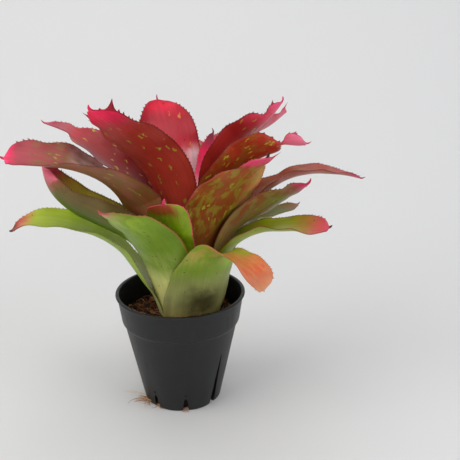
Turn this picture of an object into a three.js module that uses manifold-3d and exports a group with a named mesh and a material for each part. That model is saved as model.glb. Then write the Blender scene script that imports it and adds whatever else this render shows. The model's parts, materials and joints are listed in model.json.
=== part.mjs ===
// A potted neoregelia bromeliad: a rosette of strap leaves whose clasping bases nest round a short
// stem, in coconut coir, in a black slit-sided nursery pot. Millimetres, +Z up, origin at the centre
// of the pot's underside, with -Y towards the front of the plant.
import * as THREE from 'three';
import { mergeVertices } from 'three/addons/utils/BufferGeometryUtils.js';
import Module from 'manifold-3d';

const wasm = await Module();
wasm.setup();

const DEG = Math.PI / 180;
const UPWARDS = new THREE.Vector3(0, 0, 1);
const WELD = 1e-4; // points nearer than this are one point

// ---- Pot ----
const POT_HEIGHT = 85;
const POT_RIM_RADIUS = 47.5;
const POT_BASE_RADIUS = 29;
const POT_WALL = 1.3;
const POT_FLOOR = 1.6;
const POT_SIDES = 48;
const COLLAR_FOOT = 63; // height where the band under the rim steps in
const COLLAR_FOOT_RADIUS = 43.4;
const COLLAR_TOP_RADIUS = 46.3;
const COLLAR_STEP = 1.6; // how far the band stands out of the wall below it
const CHAMFER = 0.5;
const LIP_DEPTH = 1.8;
const SLIT_COUNT = 8;
const SLIT_FIRST = 278; // azimuth of the slit beside the middle of the front
const LONG_SLITS = [1, 3, 6]; // the slits that run up the wall; the rest are notches in the corner
const LONG_SLIT = { top: 44, topWidth: 0.9, footWidth: 5.4 };
const NOTCH = { top: 11, topWidth: 2.4, footWidth: 4.6 };
const SLIT_REACH = 8; // how far a slit runs in under the floor

// ---- Coir ----
const COIR_LEVEL = 67;
const COIR_GAP = 0.4; // clearance to the pot
const COIR_SIDES = 40;
const COIR_RINGS = [42, 37, 32, 27, 22]; // radii of the top surface's rings, outside in
const COIR_LUMP = 1.3; // height of its lumps above and below the level
const COIR_WAVES = [[0.55, 0, 1], [0.2, 0.7, 0], [0.4, -0.9, 2]]; // radians per mm along X and Y, and phase
const SEAT_STEP = 3; // length along a leaf base between the points of the seat's profile
const SEAT_REACH = 18; // length of leaf base that the seat follows
const SEAT_FLARE = 2.5;
const SEAT_HEADROOM = 6;

// ---- Stem and place of the plant ----
const PLANT_X = 6; // the plant stands to the right of the middle of the pot
const STEM_RADIUS = 8;
const STEM_FOOT = 32;
const STEM_SHOULDER = 64;
const STEM_TOP = 73.5;
const STEM_TIP_RADIUS = 0.4;
const STEM_SIDES = 24;
const SEAT_GAP = 0.4;

// ---- Leaves ----
const LEAF_THICKNESS = 0.8;
const LAYER_PITCH = 1.2; // radial distance between one layer of leaf bases and the next
const LAYER_RISE = 1.2; // how much higher on the stem each layer is seated
const SHEATH_RADIUS = 20.5; // outermost layer, where its base turns upwards
const FOOT_HEIGHT = 58; // where the outermost leaves leave the stem
const FOOT_ANGLE = 15; // degrees above the horizontal, along the stem end of a leaf base
const FOOT_BEND = 8; // length over which a base turns up
const SHEATH_ANGLE_OUTER = 74;
const SHEATH_ANGLE_STEP = 1.1; // each layer in stands this many degrees steeper
const STEM_GAP = 0.3;
const SPINE_LENGTH = 1.0;
const SPINE_LEAN = 0.8; // how far a spine's point leans towards the leaf's tip
const JAG_START = 0.7; // share of the blade from which its spines grow longer
const MUCRO_LIFT = 35; // degrees that the point turns up from the end of the blade

// Each leaf, oldest first. layer counts inwards from the outermost bases. azimuth is the way the
// leaf points, anticlockwise from +X. sheath and blade are lengths along the midrib, and width is
// the blade's. rise lists the midrib's angle above the horizontal, and roll its twist, both in
// degrees at equal steps along the blade. swing turns the blade sideways, channel is how far each
// half of the blade is folded up, neck pinches it before the tip, tip is how blunt the end is, jag
// is the length of the spines there, and mucro is the length of the point. clasp is how many
// degrees round the stem each half of the base reaches, taper is the share of its clasp that the
// base loses on the way up, and shoulder is the share of the base above which it narrows to the
// blade. USUAL holds the values that most leaves have.
const USUAL = { swing: 0, neck: 0, taper: 0, shoulder: 0.5, jag: 1, mucro: 4 };
const LEAVES = [
  {
    name: 'leaf_01_orange_droop', layer: 0, azimuth: 295, clasp: 72, sheath: 75, blade: 65, width: 34,
    rise: [58, 12, -12, -66], roll: [0, -12, -20, -13, 2], channel: 38, tip: 12, swing: 34, mucro: 1,
    taper: 0.5, shoulder: 0.8,
  },
  {
    name: 'leaf_02_low_left', layer: 0, azimuth: 180, clasp: 38, sheath: 45, blade: 111, width: 33,
    rise: [52, 56, 31, 18, 4, -38], roll: [0, 10, 0, -15, -12], channel: 48, tip: 4, swing: 6,
    mucro: 3, taper: 0.1, shoulder: 0.85,
  },
  {
    name: 'leaf_03_low_back_right', layer: 1, azimuth: 27, clasp: 55, sheath: 53, blade: 75, width: 33,
    rise: [73, 28, 16, 12], roll: [0, -8, -24, -6, 0], channel: 33, tip: 4, mucro: 3,
  },
  {
    name: 'leaf_04_front_left', layer: 1, azimuth: 238, clasp: 52, sheath: 58, blade: 72, width: 52,
    rise: [68, 56, 42, 34], roll: [0, 8, 12, 20, 14], channel: 48, tip: 4, swing: -30, neck: 0.2,
    mucro: 3,
  },
  {
    name: 'leaf_05_low_back', layer: 2, azimuth: 122, clasp: 36, sheath: 52, blade: 95, width: 36,
    rise: [72, 44, 18, -8], roll: [0, 6, 10], channel: 40, tip: 5,
  },
  {
    name: 'leaf_06_low_right', layer: 2, azimuth: 343, clasp: 54, sheath: 57, blade: 85, width: 38,
    rise: [75, 39, 13, 6, 11], roll: [0, 0, -8, 0, 24], channel: 44, tip: 6, mucro: 3,
  },
  {
    name: 'leaf_07_left_boat', layer: 3, azimuth: 187, clasp: 28, sheath: 60, blade: 100, width: 63,
    rise: [58, 30, 29, 54, 96], roll: [0, 13, 12, 6, 8], channel: 96, tip: 6, mucro: 3, jag: 1.4,
  },
  {
    name: 'leaf_08_back_right', layer: 3, azimuth: 72, clasp: 58, sheath: 56, blade: 88, width: 38,
    rise: [72, 48, 26, 10], roll: [0, -8, -12], channel: 40, tip: 5,
  },
  {
    name: 'leaf_09_front_short', layer: 4, azimuth: 255, clasp: 24, sheath: 62, blade: 48, width: 32,
    rise: [76, 66, 62, 72], roll: [0, -8, -12, 0, 16], channel: 24, tip: 14, shoulder: 0.6,
  },
  {
    name: 'leaf_10_back_left', layer: 4, azimuth: 103, clasp: 34, sheath: 60, blade: 88, width: 34,
    rise: [74, 52, 28, 10], roll: [0, 10, 14], channel: 40, tip: 5,
  },
  {
    name: 'leaf_11_right_brown', layer: 5, azimuth: 351, clasp: 50, sheath: 62, blade: 75, width: 38,
    rise: [67, 38, 34, 31], roll: [0, -18, -34, -36, -34], channel: 42, tip: 3, neck: 0.3, mucro: 5.5,
  },
  {
    name: 'leaf_12_back', layer: 5, azimuth: 93, clasp: 38, sheath: 66, blade: 85, width: 38,
    rise: [76, 54, 34, 14], roll: [0, -6, 6], channel: 40, tip: 5,
  },
  {
    name: 'leaf_13_long_right', layer: 6, azimuth: 7, clasp: 51, sheath: 68, blade: 115, width: 38,
    rise: [66, 38, 25, -4, -16], roll: [0, 4, -14, -2, -8], channel: 42, tip: 5, neck: 0.2, jag: 1.4,
  },
  {
    name: 'leaf_14_long_left', layer: 6, azimuth: 192, clasp: 60, sheath: 63, blade: 123, width: 63,
    rise: [67, 58, 33, 14, 4], roll: [0, 28, 10, -6, -22], channel: 50, tip: 6, neck: 0.2, jag: 1.6,
    shoulder: 0.8,
  },
  {
    name: 'leaf_15_front_mottled', layer: 7, azimuth: 316, clasp: 58, sheath: 75, blade: 77, width: 54,
    rise: [70, 56, 44, 34], roll: [0, -14, -10, -5, -2], channel: 24, tip: 3, neck: 0.3, mucro: 5,
    jag: 1.6,
  },
  {
    name: 'leaf_16_left_red', layer: 7, azimuth: 168, clasp: 55, sheath: 79, blade: 105, width: 40,
    rise: [75, 40, 34, 10], roll: [0, -2, -8, -8, 6], channel: 38, tip: 4, neck: 0.5, jag: 1.4,
  },
  {
    name: 'leaf_17_big_left', layer: 8, azimuth: 240, clasp: 44, sheath: 91, blade: 100, width: 44,
    rise: [85, 46, 36, 40], roll: [0, 10, 18, 18, 16], channel: 40, tip: 5, swing: -16, neck: 0.1,
    jag: 2.4, shoulder: 0.35,
  },
  {
    name: 'leaf_18_back_right_tip', layer: 8, azimuth: 48, clasp: 46, sheath: 88, blade: 104, width: 46,
    rise: [74, 34, 8, 26], roll: [0, 4, -14, -22, -32], channel: 60, tip: 8, neck: 0.1, mucro: 3,
    jag: 2.6,
  },
  {
    name: 'leaf_19_right_red_green', layer: 9, azimuth: 340, clasp: 46, sheath: 90, blade: 84, width: 40,
    rise: [82, 38, 38, 22, -4], roll: [0, -8, -30, -35, -36], channel: 50, tip: 4, neck: 0.88, jag: 2,
  },
  {
    name: 'leaf_20_top_back', layer: 9, azimuth: 123, clasp: 55, sheath: 93, blade: 65, width: 46,
    rise: [84, 76, 68, 50], roll: [0, 0, 0, -8, 8], channel: 32, tip: 6,
  },
  {
    name: 'leaf_21_top_right', layer: 10, azimuth: 12, clasp: 40, sheath: 92, blade: 83, width: 48,
    rise: [85, 53, 37, 37, 58], roll: [0, -22, -34, -30, -22], channel: 52, tip: 4, neck: 0.4,
    jag: 1.8,
  },
  {
    name: 'leaf_22_heart_left', layer: 10, azimuth: 186, clasp: 44, sheath: 74, blade: 40, width: 24,
    rise: [86, 80, 76, 72], roll: [0, 6, 0], channel: 50, tip: 3,
  },
  {
    name: 'leaf_23_heart_back', layer: 11, azimuth: 24, clasp: 42, sheath: 84, blade: 48, width: 26,
    rise: [86, 82, 78, 76], roll: [0, -6, 0], channel: 44, tip: 4,
  },
  {
    name: 'leaf_24_heart_front', layer: 11, azimuth: 280, clasp: 42, sheath: 66, blade: 36, width: 22,
    rise: [86, 82, 78, 74], roll: [0, 0, 6], channel: 50, tip: 3,
  },
].map((leaf) => ({ ...USUAL, ...leaf }));

const STEP = 1; // mm between the points that a midrib is worked out at
const SHEATH_COLUMNS = 8;
const WIDE_SHEATH_COLUMNS = 16;
const WIDE_CLASP = 60; // degrees
const BLADE_COLUMNS = 4;
// A leaf has its blade's width from NARROWED of the blade. Between the shares of the sheath and of the
// blade in FREEING, its section changes from a curve round the stem to its own channel.
const NARROWED = 0.2;
const FREEING = [0.7, 0.25];
const TAPER_START = 0.2;
const SWING_POWER = 1.5;
const TIP_FOLD = 0.6; // how much of its channel a blade keeps at its tip
const BLADE_END_WIDTH = 0.86; // width at the ends of the nearly parallel blade, against its middle
const NECK_PLACE = 0.81;
const NECK_SPREAD = 0.06;
const SHEATH_LEAN_POWER = 3; // a base stands straight for most of its length, then leans out
// Shares of the sheath above its bend, and of the blade, that the rows of points stand at.
const SHEATH_ROWS = [0.25, 0.5, 0.75, 1];
const BLADE_ROWS = [0.1, 0.2, 0.31, 0.42, 0.53, 0.64, 0.74, 0.83, 0.9, 0.95, 0.985];

const lerp = THREE.MathUtils.lerp;
const smooth = THREE.MathUtils.smoothstep;

// Value of a list of equally spaced readings at share u, joined by straight lines.
function along(list, u) {
  const x = THREE.MathUtils.clamp(u, 0, 1) * (list.length - 1);
  const i = Math.min(Math.floor(x), list.length - 2);
  return lerp(list[i], list[i + 1], x - i);
}

// Where a leaf's base sits: its radius on the stem, its height, and the run before it turns up.
function baseOf(leaf) {
  const sheathRadius = SHEATH_RADIUS - LAYER_PITCH * leaf.layer;
  const height = FOOT_HEIGHT + LAYER_RISE * leaf.layer;
  const sheathAngle = SHEATH_ANGLE_OUTER + SHEATH_ANGLE_STEP * leaf.layer;
  const bendRun = FOOT_BEND * Math.cos(((FOOT_ANGLE + sheathAngle) / 2) * DEG);
  const stem = stemRadius(height) + STEM_GAP;
  const run = Math.max(0, sheathRadius - bendRun - stem) / Math.cos(FOOT_ANGLE * DEG);
  return { stem, height, sheathAngle, run };
}

// The stem is straight up to its shoulder and a cone above it.
function stemRadius(z) {
  const share = THREE.MathUtils.clamp((z - STEM_SHOULDER) / (STEM_TOP - STEM_SHOULDER), 0, 1);
  return lerp(STEM_RADIUS, STEM_TIP_RADIUS, share);
}

// Angle of the midrib above the horizontal, at a length from the foot of the leaf.
function riseAt(leaf, base, length) {
  const bendEnd = base.run + FOOT_BEND;
  if (length < bendEnd) return lerp(FOOT_ANGLE, base.sheathAngle, smooth(length, base.run, bendEnd));
  if (length < leaf.sheath) {
    const leaned = smooth(length, bendEnd, leaf.sheath) ** SHEATH_LEAN_POWER;
    return lerp(base.sheathAngle, leaf.rise[0], leaned);
  }
  return along(leaf.rise, (length - leaf.sheath) / leaf.blade);
}

// The midrib as a list of frames: place, direction, sideways and upper-face vectors.
function midrib(leaf) {
  const base = baseOf(leaf);
  const azimuth = leaf.azimuth * DEG;
  const place = new THREE.Vector3(
    PLANT_X + base.stem * Math.cos(azimuth), base.stem * Math.sin(azimuth), base.height);
  const frames = [];
  const total = leaf.sheath + leaf.blade;
  for (let length = 0; length <= total; length += STEP) {
    const share = Math.max(0, (length - leaf.sheath) / leaf.blade);
    const heading = azimuth + leaf.swing * DEG * share ** SWING_POWER;
    const rise = riseAt(leaf, base, length) * DEG;
    const roll = along(leaf.roll, share) * DEG;
    const ahead = new THREE.Vector3(
      Math.cos(rise) * Math.cos(heading), Math.cos(rise) * Math.sin(heading), Math.sin(rise));
    const level = new THREE.Vector3(-Math.sin(heading), Math.cos(heading), 0);
    const above = ahead.clone().cross(level);
    const side = level.clone().multiplyScalar(Math.cos(roll)).addScaledVector(above, Math.sin(roll));
    const up = above.clone().multiplyScalar(Math.cos(roll)).addScaledVector(level, -Math.sin(roll));
    frames.push({ length, place: place.clone(), ahead, side, up });
    place.addScaledVector(ahead, STEP);
  }
  return frames;
}

// Half the blade's width at share u of its length: nearly parallel, pinched at the neck, then rounded.
function bladeHalfWidth(leaf, u) {
  const swell = BLADE_END_WIDTH + (1 - BLADE_END_WIDTH) * Math.sin(Math.PI * u);
  const round = Math.sqrt(Math.max(0, 1 - u ** leaf.tip));
  const pinch = 1 - leaf.neck * Math.exp(-(((u - NECK_PLACE) / NECK_SPREAD) ** 2));
  return (leaf.width / 2) * swell * round * pinch;
}

// The cross-section of a leaf at a length from its foot: its centre, half-width, and fold.
function sectionAt(leaf, frames, length) {
  const index = Math.min(Math.round(length / STEP), frames.length - 1);
  const frame = frames[index];
  const share = (length - leaf.sheath) / leaf.blade;
  const radius = Math.hypot(frame.place.x - PLANT_X, frame.place.y);
  const free = smooth(length, FREEING[0] * leaf.sheath, leaf.sheath + FREEING[1] * leaf.blade);
  const narrowed = smooth(length, leaf.shoulder * leaf.sheath, leaf.sheath + NARROWED * leaf.blade);
  const tapered = smooth(length, TAPER_START * leaf.sheath, leaf.sheath);
  const clasp = leaf.clasp * DEG * (1 - leaf.taper * tapered);
  const halfWidth = lerp(clasp * radius, bladeHalfWidth(leaf, Math.max(0, share)), narrowed);
  const folded = leaf.channel * DEG * lerp(1, TIP_FOLD, THREE.MathUtils.clamp(share, 0, 1));
  const fold = lerp(halfWidth / radius, folded, free);
  const inward = new THREE.Vector3(PLANT_X - frame.place.x, -frame.place.y, 0).normalize();
  const up = inward.multiplyScalar(1 - free).addScaledVector(frame.up, free).normalize();
  return { ...frame, up, halfWidth, fold, free };
}

// Points across a section: on the upper face for face 1, on the lower face for face -1.
function sectionPoints(section, columns, face) {
  const { place, ahead, side, up, halfWidth, fold, free } = section;
  const bend = halfWidth / fold;
  return Array.from({ length: columns + 1 }, (_, i) => {
    const angle = fold * ((2 * i) / columns - 1);
    const facing = up.clone().multiplyScalar(Math.cos(angle)).addScaledVector(side, -Math.sin(angle));
    const travel = ahead.clone().applyAxisAngle(UPWARDS, angle * (1 - free));
    facing.addScaledVector(travel, -facing.dot(travel)).normalize();
    return place.clone()
      .addScaledVector(side, bend * Math.sin(angle))
      .addScaledVector(up, bend * (1 - Math.cos(angle)))
      .addScaledVector(facing, (face * LEAF_THICKNESS) / 2);
  });
}

// Triangles between two rows of points, the second with as many columns as the first or fewer.
function stitch(lower, upper) {
  const triangles = [];
  const step = (lower.length - 1) / (upper.length - 1);
  for (let i = 0; i < upper.length - 1; i++) {
    for (let k = 0; k < step; k++) {
      const apex = k < step / 2 ? upper[i] : upper[i + 1];
      triangles.push([lower[i * step + k], lower[i * step + k + 1], apex]);
    }
    const middle = lower[i * step + Math.ceil(step / 2)];
    triangles.push([middle, upper[i + 1], upper[i]]);
  }
  return triangles;
}

// Closed leaf solid: two faces, a foot edge, spiny margins and a point.
function leafGeometry(leaf) {
  const frames = midrib(leaf);
  const base = baseOf(leaf);
  const bendEnd = base.run + FOOT_BEND;
  const sheathColumns = leaf.clasp > WIDE_CLASP ? WIDE_SHEATH_COLUMNS : SHEATH_COLUMNS;
  const sheathRows = [0, base.run, base.run + FOOT_BEND / 2, bendEnd,
    ...SHEATH_ROWS.map((u) => lerp(bendEnd, leaf.sheath, u))];
  const rows = [...new Set(sheathRows)].map((length) => [length, sheathColumns])
    .concat(BLADE_ROWS.map((u) => [leaf.sheath + u * leaf.blade, BLADE_COLUMNS]));
  const sections = rows.map(([length]) => sectionAt(leaf, frames, length));
  const upper = sections.map((s, i) => sectionPoints(s, rows[i][1], 1));
  const lower = sections.map((s, i) => sectionPoints(s, rows[i][1], -1));
  const last = frames.at(-1);
  const point = last.place.clone()
    .addScaledVector(last.ahead, leaf.mucro * Math.cos(MUCRO_LIFT * DEG))
    .addScaledVector(last.up, leaf.mucro * Math.sin(MUCRO_LIFT * DEG));
  const triangles = [];
  for (let i = 0; i < rows.length - 1; i++) {
    stitch(upper[i], upper[i + 1]).forEach(([a, b, c]) => triangles.push([c, b, a]));
    stitch(lower[i], lower[i + 1]).forEach((triangle) => triangles.push(triangle));
    const spine = spineLength(leaf, rows[i][0]);
    triangles.push(...margin(upper[i].at(-1), lower[i].at(-1), upper[i + 1].at(-1), lower[i + 1].at(-1),
      sections[i], 1, spine));
    triangles.push(...margin(lower[i][0], upper[i][0], lower[i + 1][0], upper[i + 1][0],
      sections[i], -1, spine));
  }
  const foot = [upper[0], lower[0]];
  for (let k = 0; k < sheathColumns; k++) {
    triangles.push([foot[1][k + 1], foot[1][k], foot[0][k]], [foot[0][k + 1], foot[1][k + 1], foot[0][k]]);
  }
  const ring = [...upper.at(-1), ...lower.at(-1).slice().reverse()];
  ring.forEach((p, k) => triangles.push([point, ring[(k + 1) % ring.length], p]));
  return fromTriangles(triangles);
}

// Length of the spine at a length from the leaf's foot: none on the base, longer towards the tip.
function spineLength(leaf, length) {
  if (length < leaf.sheath) return 0;
  return lerp(SPINE_LENGTH, leaf.jag, smooth((length - leaf.sheath) / leaf.blade, JAG_START, 1));
}

// One stretch of a leaf's edge, with a forward-leaning spine on it where spine isn't 0.
function margin(a, b, c, d, section, sign, spine) {
  if (spine === 0) return [[c, b, a], [c, d, b]];
  const apex = new THREE.Vector3().add(a).add(b).add(c).add(d).multiplyScalar(0.25)
    .addScaledVector(section.side, sign * spine * Math.cos(section.fold))
    .addScaledVector(section.up, spine * Math.sin(section.fold))
    .addScaledVector(section.ahead, SPINE_LEAN * spine);
  return [[apex, b, a], [apex, d, b], [apex, c, d], [apex, a, c]];
}

// Geometry of a list of triangles, with the points that they share made one.
function fromTriangles(triangles) {
  const geometry = new THREE.BufferGeometry().setFromPoints(triangles.flat());
  return mergeVertices(geometry, WELD);
}

function material(color, roughness, metalness = 0) {
  return new THREE.MeshStandardMaterial({ color, roughness, metalness });
}

// Solid of revolution about +Z from a profile of [radius, height] pairs that starts and ends on the axis.
function turned(profile, sides) {
  const points = profile.map(([r, z]) => new THREE.Vector2(r, z));
  return new THREE.LatheGeometry(points, sides).rotateX(Math.PI / 2);
}

// three.js geometry as a manifold-3d solid, and back.
function toSolid(geometry) {
  const bare = new THREE.BufferGeometry();
  const loose = geometry.index ? geometry.toNonIndexed() : geometry;
  bare.setAttribute('position', loose.getAttribute('position'));
  const merged = mergeVertices(bare, WELD);
  return new wasm.Manifold(new wasm.Mesh({
    numProp: 3,
    vertProperties: merged.attributes.position.array,
    triVerts: new Uint32Array(merged.index.array),
  }));
}

function fromSolid(solid) {
  const mesh = solid.getMesh();
  const geometry = new THREE.BufferGeometry();
  geometry.setAttribute('position', new THREE.BufferAttribute(mesh.vertProperties, 3));
  return geometry.setIndex(new THREE.BufferAttribute(mesh.triVerts, 1));
}

// Wedge that cuts one slit through the wall and the edge of the floor.
function slitCutter(azimuth, { top, topWidth, footWidth }) {
  const outline = new THREE.Shape([
    new THREE.Vector2(-footWidth / 2, -1),
    new THREE.Vector2(footWidth / 2, -1),
    new THREE.Vector2(topWidth / 2, top),
    new THREE.Vector2(-topWidth / 2, top),
  ]);
  return new THREE.ExtrudeGeometry(outline, { depth: POT_RIM_RADIUS, bevelEnabled: false })
    .rotateX(Math.PI / 2)
    .translate(0, -(POT_BASE_RADIUS - SLIT_REACH), 0)
    .rotateZ((azimuth - 270) * DEG);
}

function potGeometry() {
  const collarTop = POT_HEIGHT - LIP_DEPTH;
  const collarInside = COLLAR_TOP_RADIUS - POT_WALL;
  const wallTopRadius = COLLAR_FOOT_RADIUS - COLLAR_STEP;
  const profile = [
    [0, 0], [POT_BASE_RADIUS - CHAMFER, 0], [POT_BASE_RADIUS, CHAMFER],
    [wallTopRadius, COLLAR_FOOT - CHAMFER], [COLLAR_FOOT_RADIUS, COLLAR_FOOT + CHAMFER],
    [COLLAR_TOP_RADIUS, collarTop], [POT_RIM_RADIUS, collarTop + CHAMFER],
    [POT_RIM_RADIUS, POT_HEIGHT - CHAMFER], [POT_RIM_RADIUS - CHAMFER, POT_HEIGHT],
    [collarInside + CHAMFER, POT_HEIGHT], [collarInside, POT_HEIGHT - CHAMFER],
    [COLLAR_FOOT_RADIUS - POT_WALL, COLLAR_FOOT + CHAMFER],
    [wallTopRadius - POT_WALL, COLLAR_FOOT - CHAMFER],
    [POT_BASE_RADIUS - POT_WALL, POT_FLOOR], [0, POT_FLOOR],
  ];
  let solid = toSolid(turned(profile, POT_SIDES));
  for (let k = 0; k < SLIT_COUNT; k++) {
    const size = LONG_SLITS.includes(k) ? LONG_SLIT : NOTCH;
    solid = solid.subtract(toSolid(slitCutter(SLIT_FIRST + (k * 360) / SLIT_COUNT, size)));
  }
  return fromSolid(solid);
}

// Height of the coir's lumpy top over its level: waves laid across each other.
function lump(x, y) {
  const waves = COIR_WAVES.map(([acrossX, acrossY, phase]) => Math.sin(acrossX * x + acrossY * y + phase));
  return (COIR_LUMP / waves.length) * waves.reduce((sum, wave) => sum + wave);
}

// Coir that fills the pot up to its level, with a seat for the stem and the leaf bases.
function coirGeometry() {
  const floor = POT_FLOOR + COIR_GAP;
  const wall = POT_WALL + COIR_GAP;
  const profile = [
    [0, floor], [POT_BASE_RADIUS - wall, floor],
    [COLLAR_FOOT_RADIUS - COLLAR_STEP - wall, COLLAR_FOOT - CHAMFER],
    ...COIR_RINGS.map((r) => [r, COIR_LEVEL]), [0, COIR_LEVEL],
  ];
  const geometry = turned(profile, COIR_SIDES);
  const position = geometry.getAttribute('position');
  for (let i = 0; i < position.count; i++) {
    if (position.getZ(i) < COLLAR_FOOT) continue;
    position.setZ(i, COIR_LEVEL + lump(position.getX(i), position.getY(i)));
  }
  return fromSolid(toSolid(geometry).subtract(toSolid(seatGeometry())));
}

// Room for the stem and the undersides of the outermost leaf bases.
function seatGeometry() {
  const outermost = midrib({ ...LEAVES[0], azimuth: 0, swing: 0 });
  const below = outermost
    .filter(({ length }) => length % SEAT_STEP === 0 && length <= SEAT_REACH)
    .map(({ place, up }) => place.clone().addScaledVector(up, -LEAF_THICKNESS / 2 - SEAT_GAP));
  const rim = below.at(-1);
  const profile = [
    [0, STEM_FOOT - SEAT_GAP], [STEM_RADIUS + SEAT_GAP, STEM_FOOT - SEAT_GAP],
    ...below.map(({ x, z }) => [Math.max(x - PLANT_X, STEM_RADIUS + SEAT_GAP), z]),
    [rim.x - PLANT_X + SEAT_FLARE, rim.z + SEAT_HEADROOM], [0, rim.z + SEAT_HEADROOM],
  ];
  return turned(profile, COIR_SIDES).translate(PLANT_X, 0, 0);
}

function stemGeometry() {
  const profile = [
    [0, STEM_FOOT], [STEM_RADIUS, STEM_FOOT], [STEM_RADIUS, STEM_SHOULDER],
    [STEM_TIP_RADIUS, STEM_TOP], [0, STEM_TOP],
  ];
  return turned(profile, STEM_SIDES).translate(PLANT_X, 0, 0);
}

const root = new THREE.Group();
root.name = 'potted_neoregelia';

function add(name, geometry, finish) {
  const mesh = new THREE.Mesh(geometry, finish);
  mesh.name = name;
  root.add(mesh);
}

add('pot', potGeometry(), material(0x2b2d2e, 0.55));
add('coir', coirGeometry(), material(0x5a3b26, 0.95));
add('stem', stemGeometry(), material(0x8a6a45, 0.9));

const OUTER_COLOR = new THREE.Color(0x7da335);
const INNER_COLOR = new THREE.Color(0xa52a35);
const RED_LAYER = 6; // leaves in this layer and inwards of it have the inner colour
for (const leaf of LEAVES) {
  const color = OUTER_COLOR.clone().lerp(INNER_COLOR, Math.min(1, leaf.layer / RED_LAYER));
  add(leaf.name, leafGeometry(leaf), material(color, 0.4));
}

export default root;
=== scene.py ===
"""A neoregelia bromeliad in its black nursery pot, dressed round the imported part.

Lengths are in millimetres in the part's own frame, and become metres when a mesh is made.
The rosette's leaves, the pot and the coir are surfaces worked out as whole arrays.
"""

from __future__ import annotations

import json
import logging
import math
from dataclasses import dataclass, field
from enum import Enum

import bpy
import numpy as np
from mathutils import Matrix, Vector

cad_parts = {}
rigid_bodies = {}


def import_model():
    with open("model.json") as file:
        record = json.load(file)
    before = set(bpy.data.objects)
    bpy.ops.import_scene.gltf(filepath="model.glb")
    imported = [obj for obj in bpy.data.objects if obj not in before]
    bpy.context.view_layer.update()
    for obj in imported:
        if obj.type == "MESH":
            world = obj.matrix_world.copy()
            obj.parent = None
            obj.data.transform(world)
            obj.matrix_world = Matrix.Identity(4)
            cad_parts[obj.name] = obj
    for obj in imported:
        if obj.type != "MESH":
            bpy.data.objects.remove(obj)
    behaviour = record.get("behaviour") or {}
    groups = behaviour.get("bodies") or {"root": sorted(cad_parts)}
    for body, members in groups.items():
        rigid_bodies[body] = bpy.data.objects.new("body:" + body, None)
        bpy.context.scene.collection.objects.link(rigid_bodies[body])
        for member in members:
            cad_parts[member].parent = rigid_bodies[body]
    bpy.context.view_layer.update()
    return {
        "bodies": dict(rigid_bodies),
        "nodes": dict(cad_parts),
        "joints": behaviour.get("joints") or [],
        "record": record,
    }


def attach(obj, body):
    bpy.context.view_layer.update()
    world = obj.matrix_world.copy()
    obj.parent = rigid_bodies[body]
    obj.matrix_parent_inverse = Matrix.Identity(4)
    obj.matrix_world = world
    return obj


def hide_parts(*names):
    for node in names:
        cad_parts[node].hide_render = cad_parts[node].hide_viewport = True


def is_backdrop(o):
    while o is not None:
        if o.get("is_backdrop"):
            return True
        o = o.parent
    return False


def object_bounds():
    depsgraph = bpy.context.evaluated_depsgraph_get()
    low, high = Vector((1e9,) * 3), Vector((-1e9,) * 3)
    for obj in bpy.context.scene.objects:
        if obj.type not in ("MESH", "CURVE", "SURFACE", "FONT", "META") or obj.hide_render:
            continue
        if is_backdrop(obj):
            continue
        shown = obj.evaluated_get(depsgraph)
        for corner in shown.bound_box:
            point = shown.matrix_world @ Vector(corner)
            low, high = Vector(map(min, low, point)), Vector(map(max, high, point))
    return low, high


LOG = logging.getLogger("neoregelia")
MM = 0.001
ROOT = "root"
Stops = tuple[tuple[float, str], ...]


# ---------------------------------------------------------------- small maths


def smooth(x: np.ndarray | float, low: float, high: float) -> np.ndarray:
    """Smooth step from 0 at low to 1 at high: 3t^2 - 2t^3."""
    t = np.clip((np.asarray(x, float) - low) / (high - low), 0, 1)
    return t * t * (3 - 2 * t)


def mix(a: np.ndarray | float, b: np.ndarray | float, t: np.ndarray | float) -> np.ndarray:
    """Straight-line blend, a where t is 0 and b where t is 1."""
    return a + (np.asarray(b, float) - a) * t


def unit(v: np.ndarray) -> np.ndarray:
    """Vectors of length 1 along v."""
    return v / np.maximum(np.linalg.norm(v, axis=-1, keepdims=True), 1e-9)


def towards(heading: np.ndarray, rise: np.ndarray) -> np.ndarray:
    """Directions of length 1: (cos rise cos heading, cos rise sin heading, sin rise)."""
    flat = np.cos(rise)
    return np.stack([flat * np.cos(heading), flat * np.sin(heading), np.sin(rise)], -1)


def around_axis(radius: np.ndarray, turn: np.ndarray, height: np.ndarray | float) -> np.ndarray:
    """Places at a radius, a turn and a height about the vertical axis."""
    flat = radius * np.cos(turn), radius * np.sin(turn)
    return np.stack(np.broadcast_arrays(*flat, height), -1)


def turned_about_z(vector: np.ndarray, angle: np.ndarray) -> np.ndarray:
    """Vectors turned about the vertical.

    Args:
        vector: the vectors, or one for all the angles.
        angle: the angles in radians.

    Returns:
        A vector for each angle.
    """
    x, y, z = np.moveaxis(np.broadcast_to(vector, angle.shape + (3,)), -1, 0)
    cos, sin = np.cos(angle), np.sin(angle)
    return np.stack([x * cos - y * sin, x * sin + y * cos, z], -1)


def ripple(points: np.ndarray, wavelength: float, seed: int, waves: int = 9) -> np.ndarray:
    """Smooth irregular relief between about -1 and 1.

    It is the mean of plane waves in random directions, each of about the given wavelength, times
    the root of their number.

    Args:
        points: places, with x, y and z last.
        wavelength: distance between crests in mm.
        seed: seed of the directions and phases.
        waves: number of waves.

    Returns:
        The relief at each point.
    """
    draw = np.random.default_rng(seed)
    direction = unit(draw.normal(size=(waves, 3)))
    number = direction * (2 * np.pi / wavelength) * draw.uniform(0.7, 1.4, (waves, 1))
    phase = draw.uniform(0, 2 * np.pi, waves)
    return np.sin(points @ number.T + phase).mean(-1) * math.sqrt(waves)


# ---------------------------------------------------------------- meshes


@dataclass
class Patch:
    """Points, faces, and the values that the materials read at the points."""

    points: np.ndarray
    faces: list[np.ndarray]
    values: dict[str, np.ndarray] = field(default_factory=dict)


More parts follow.
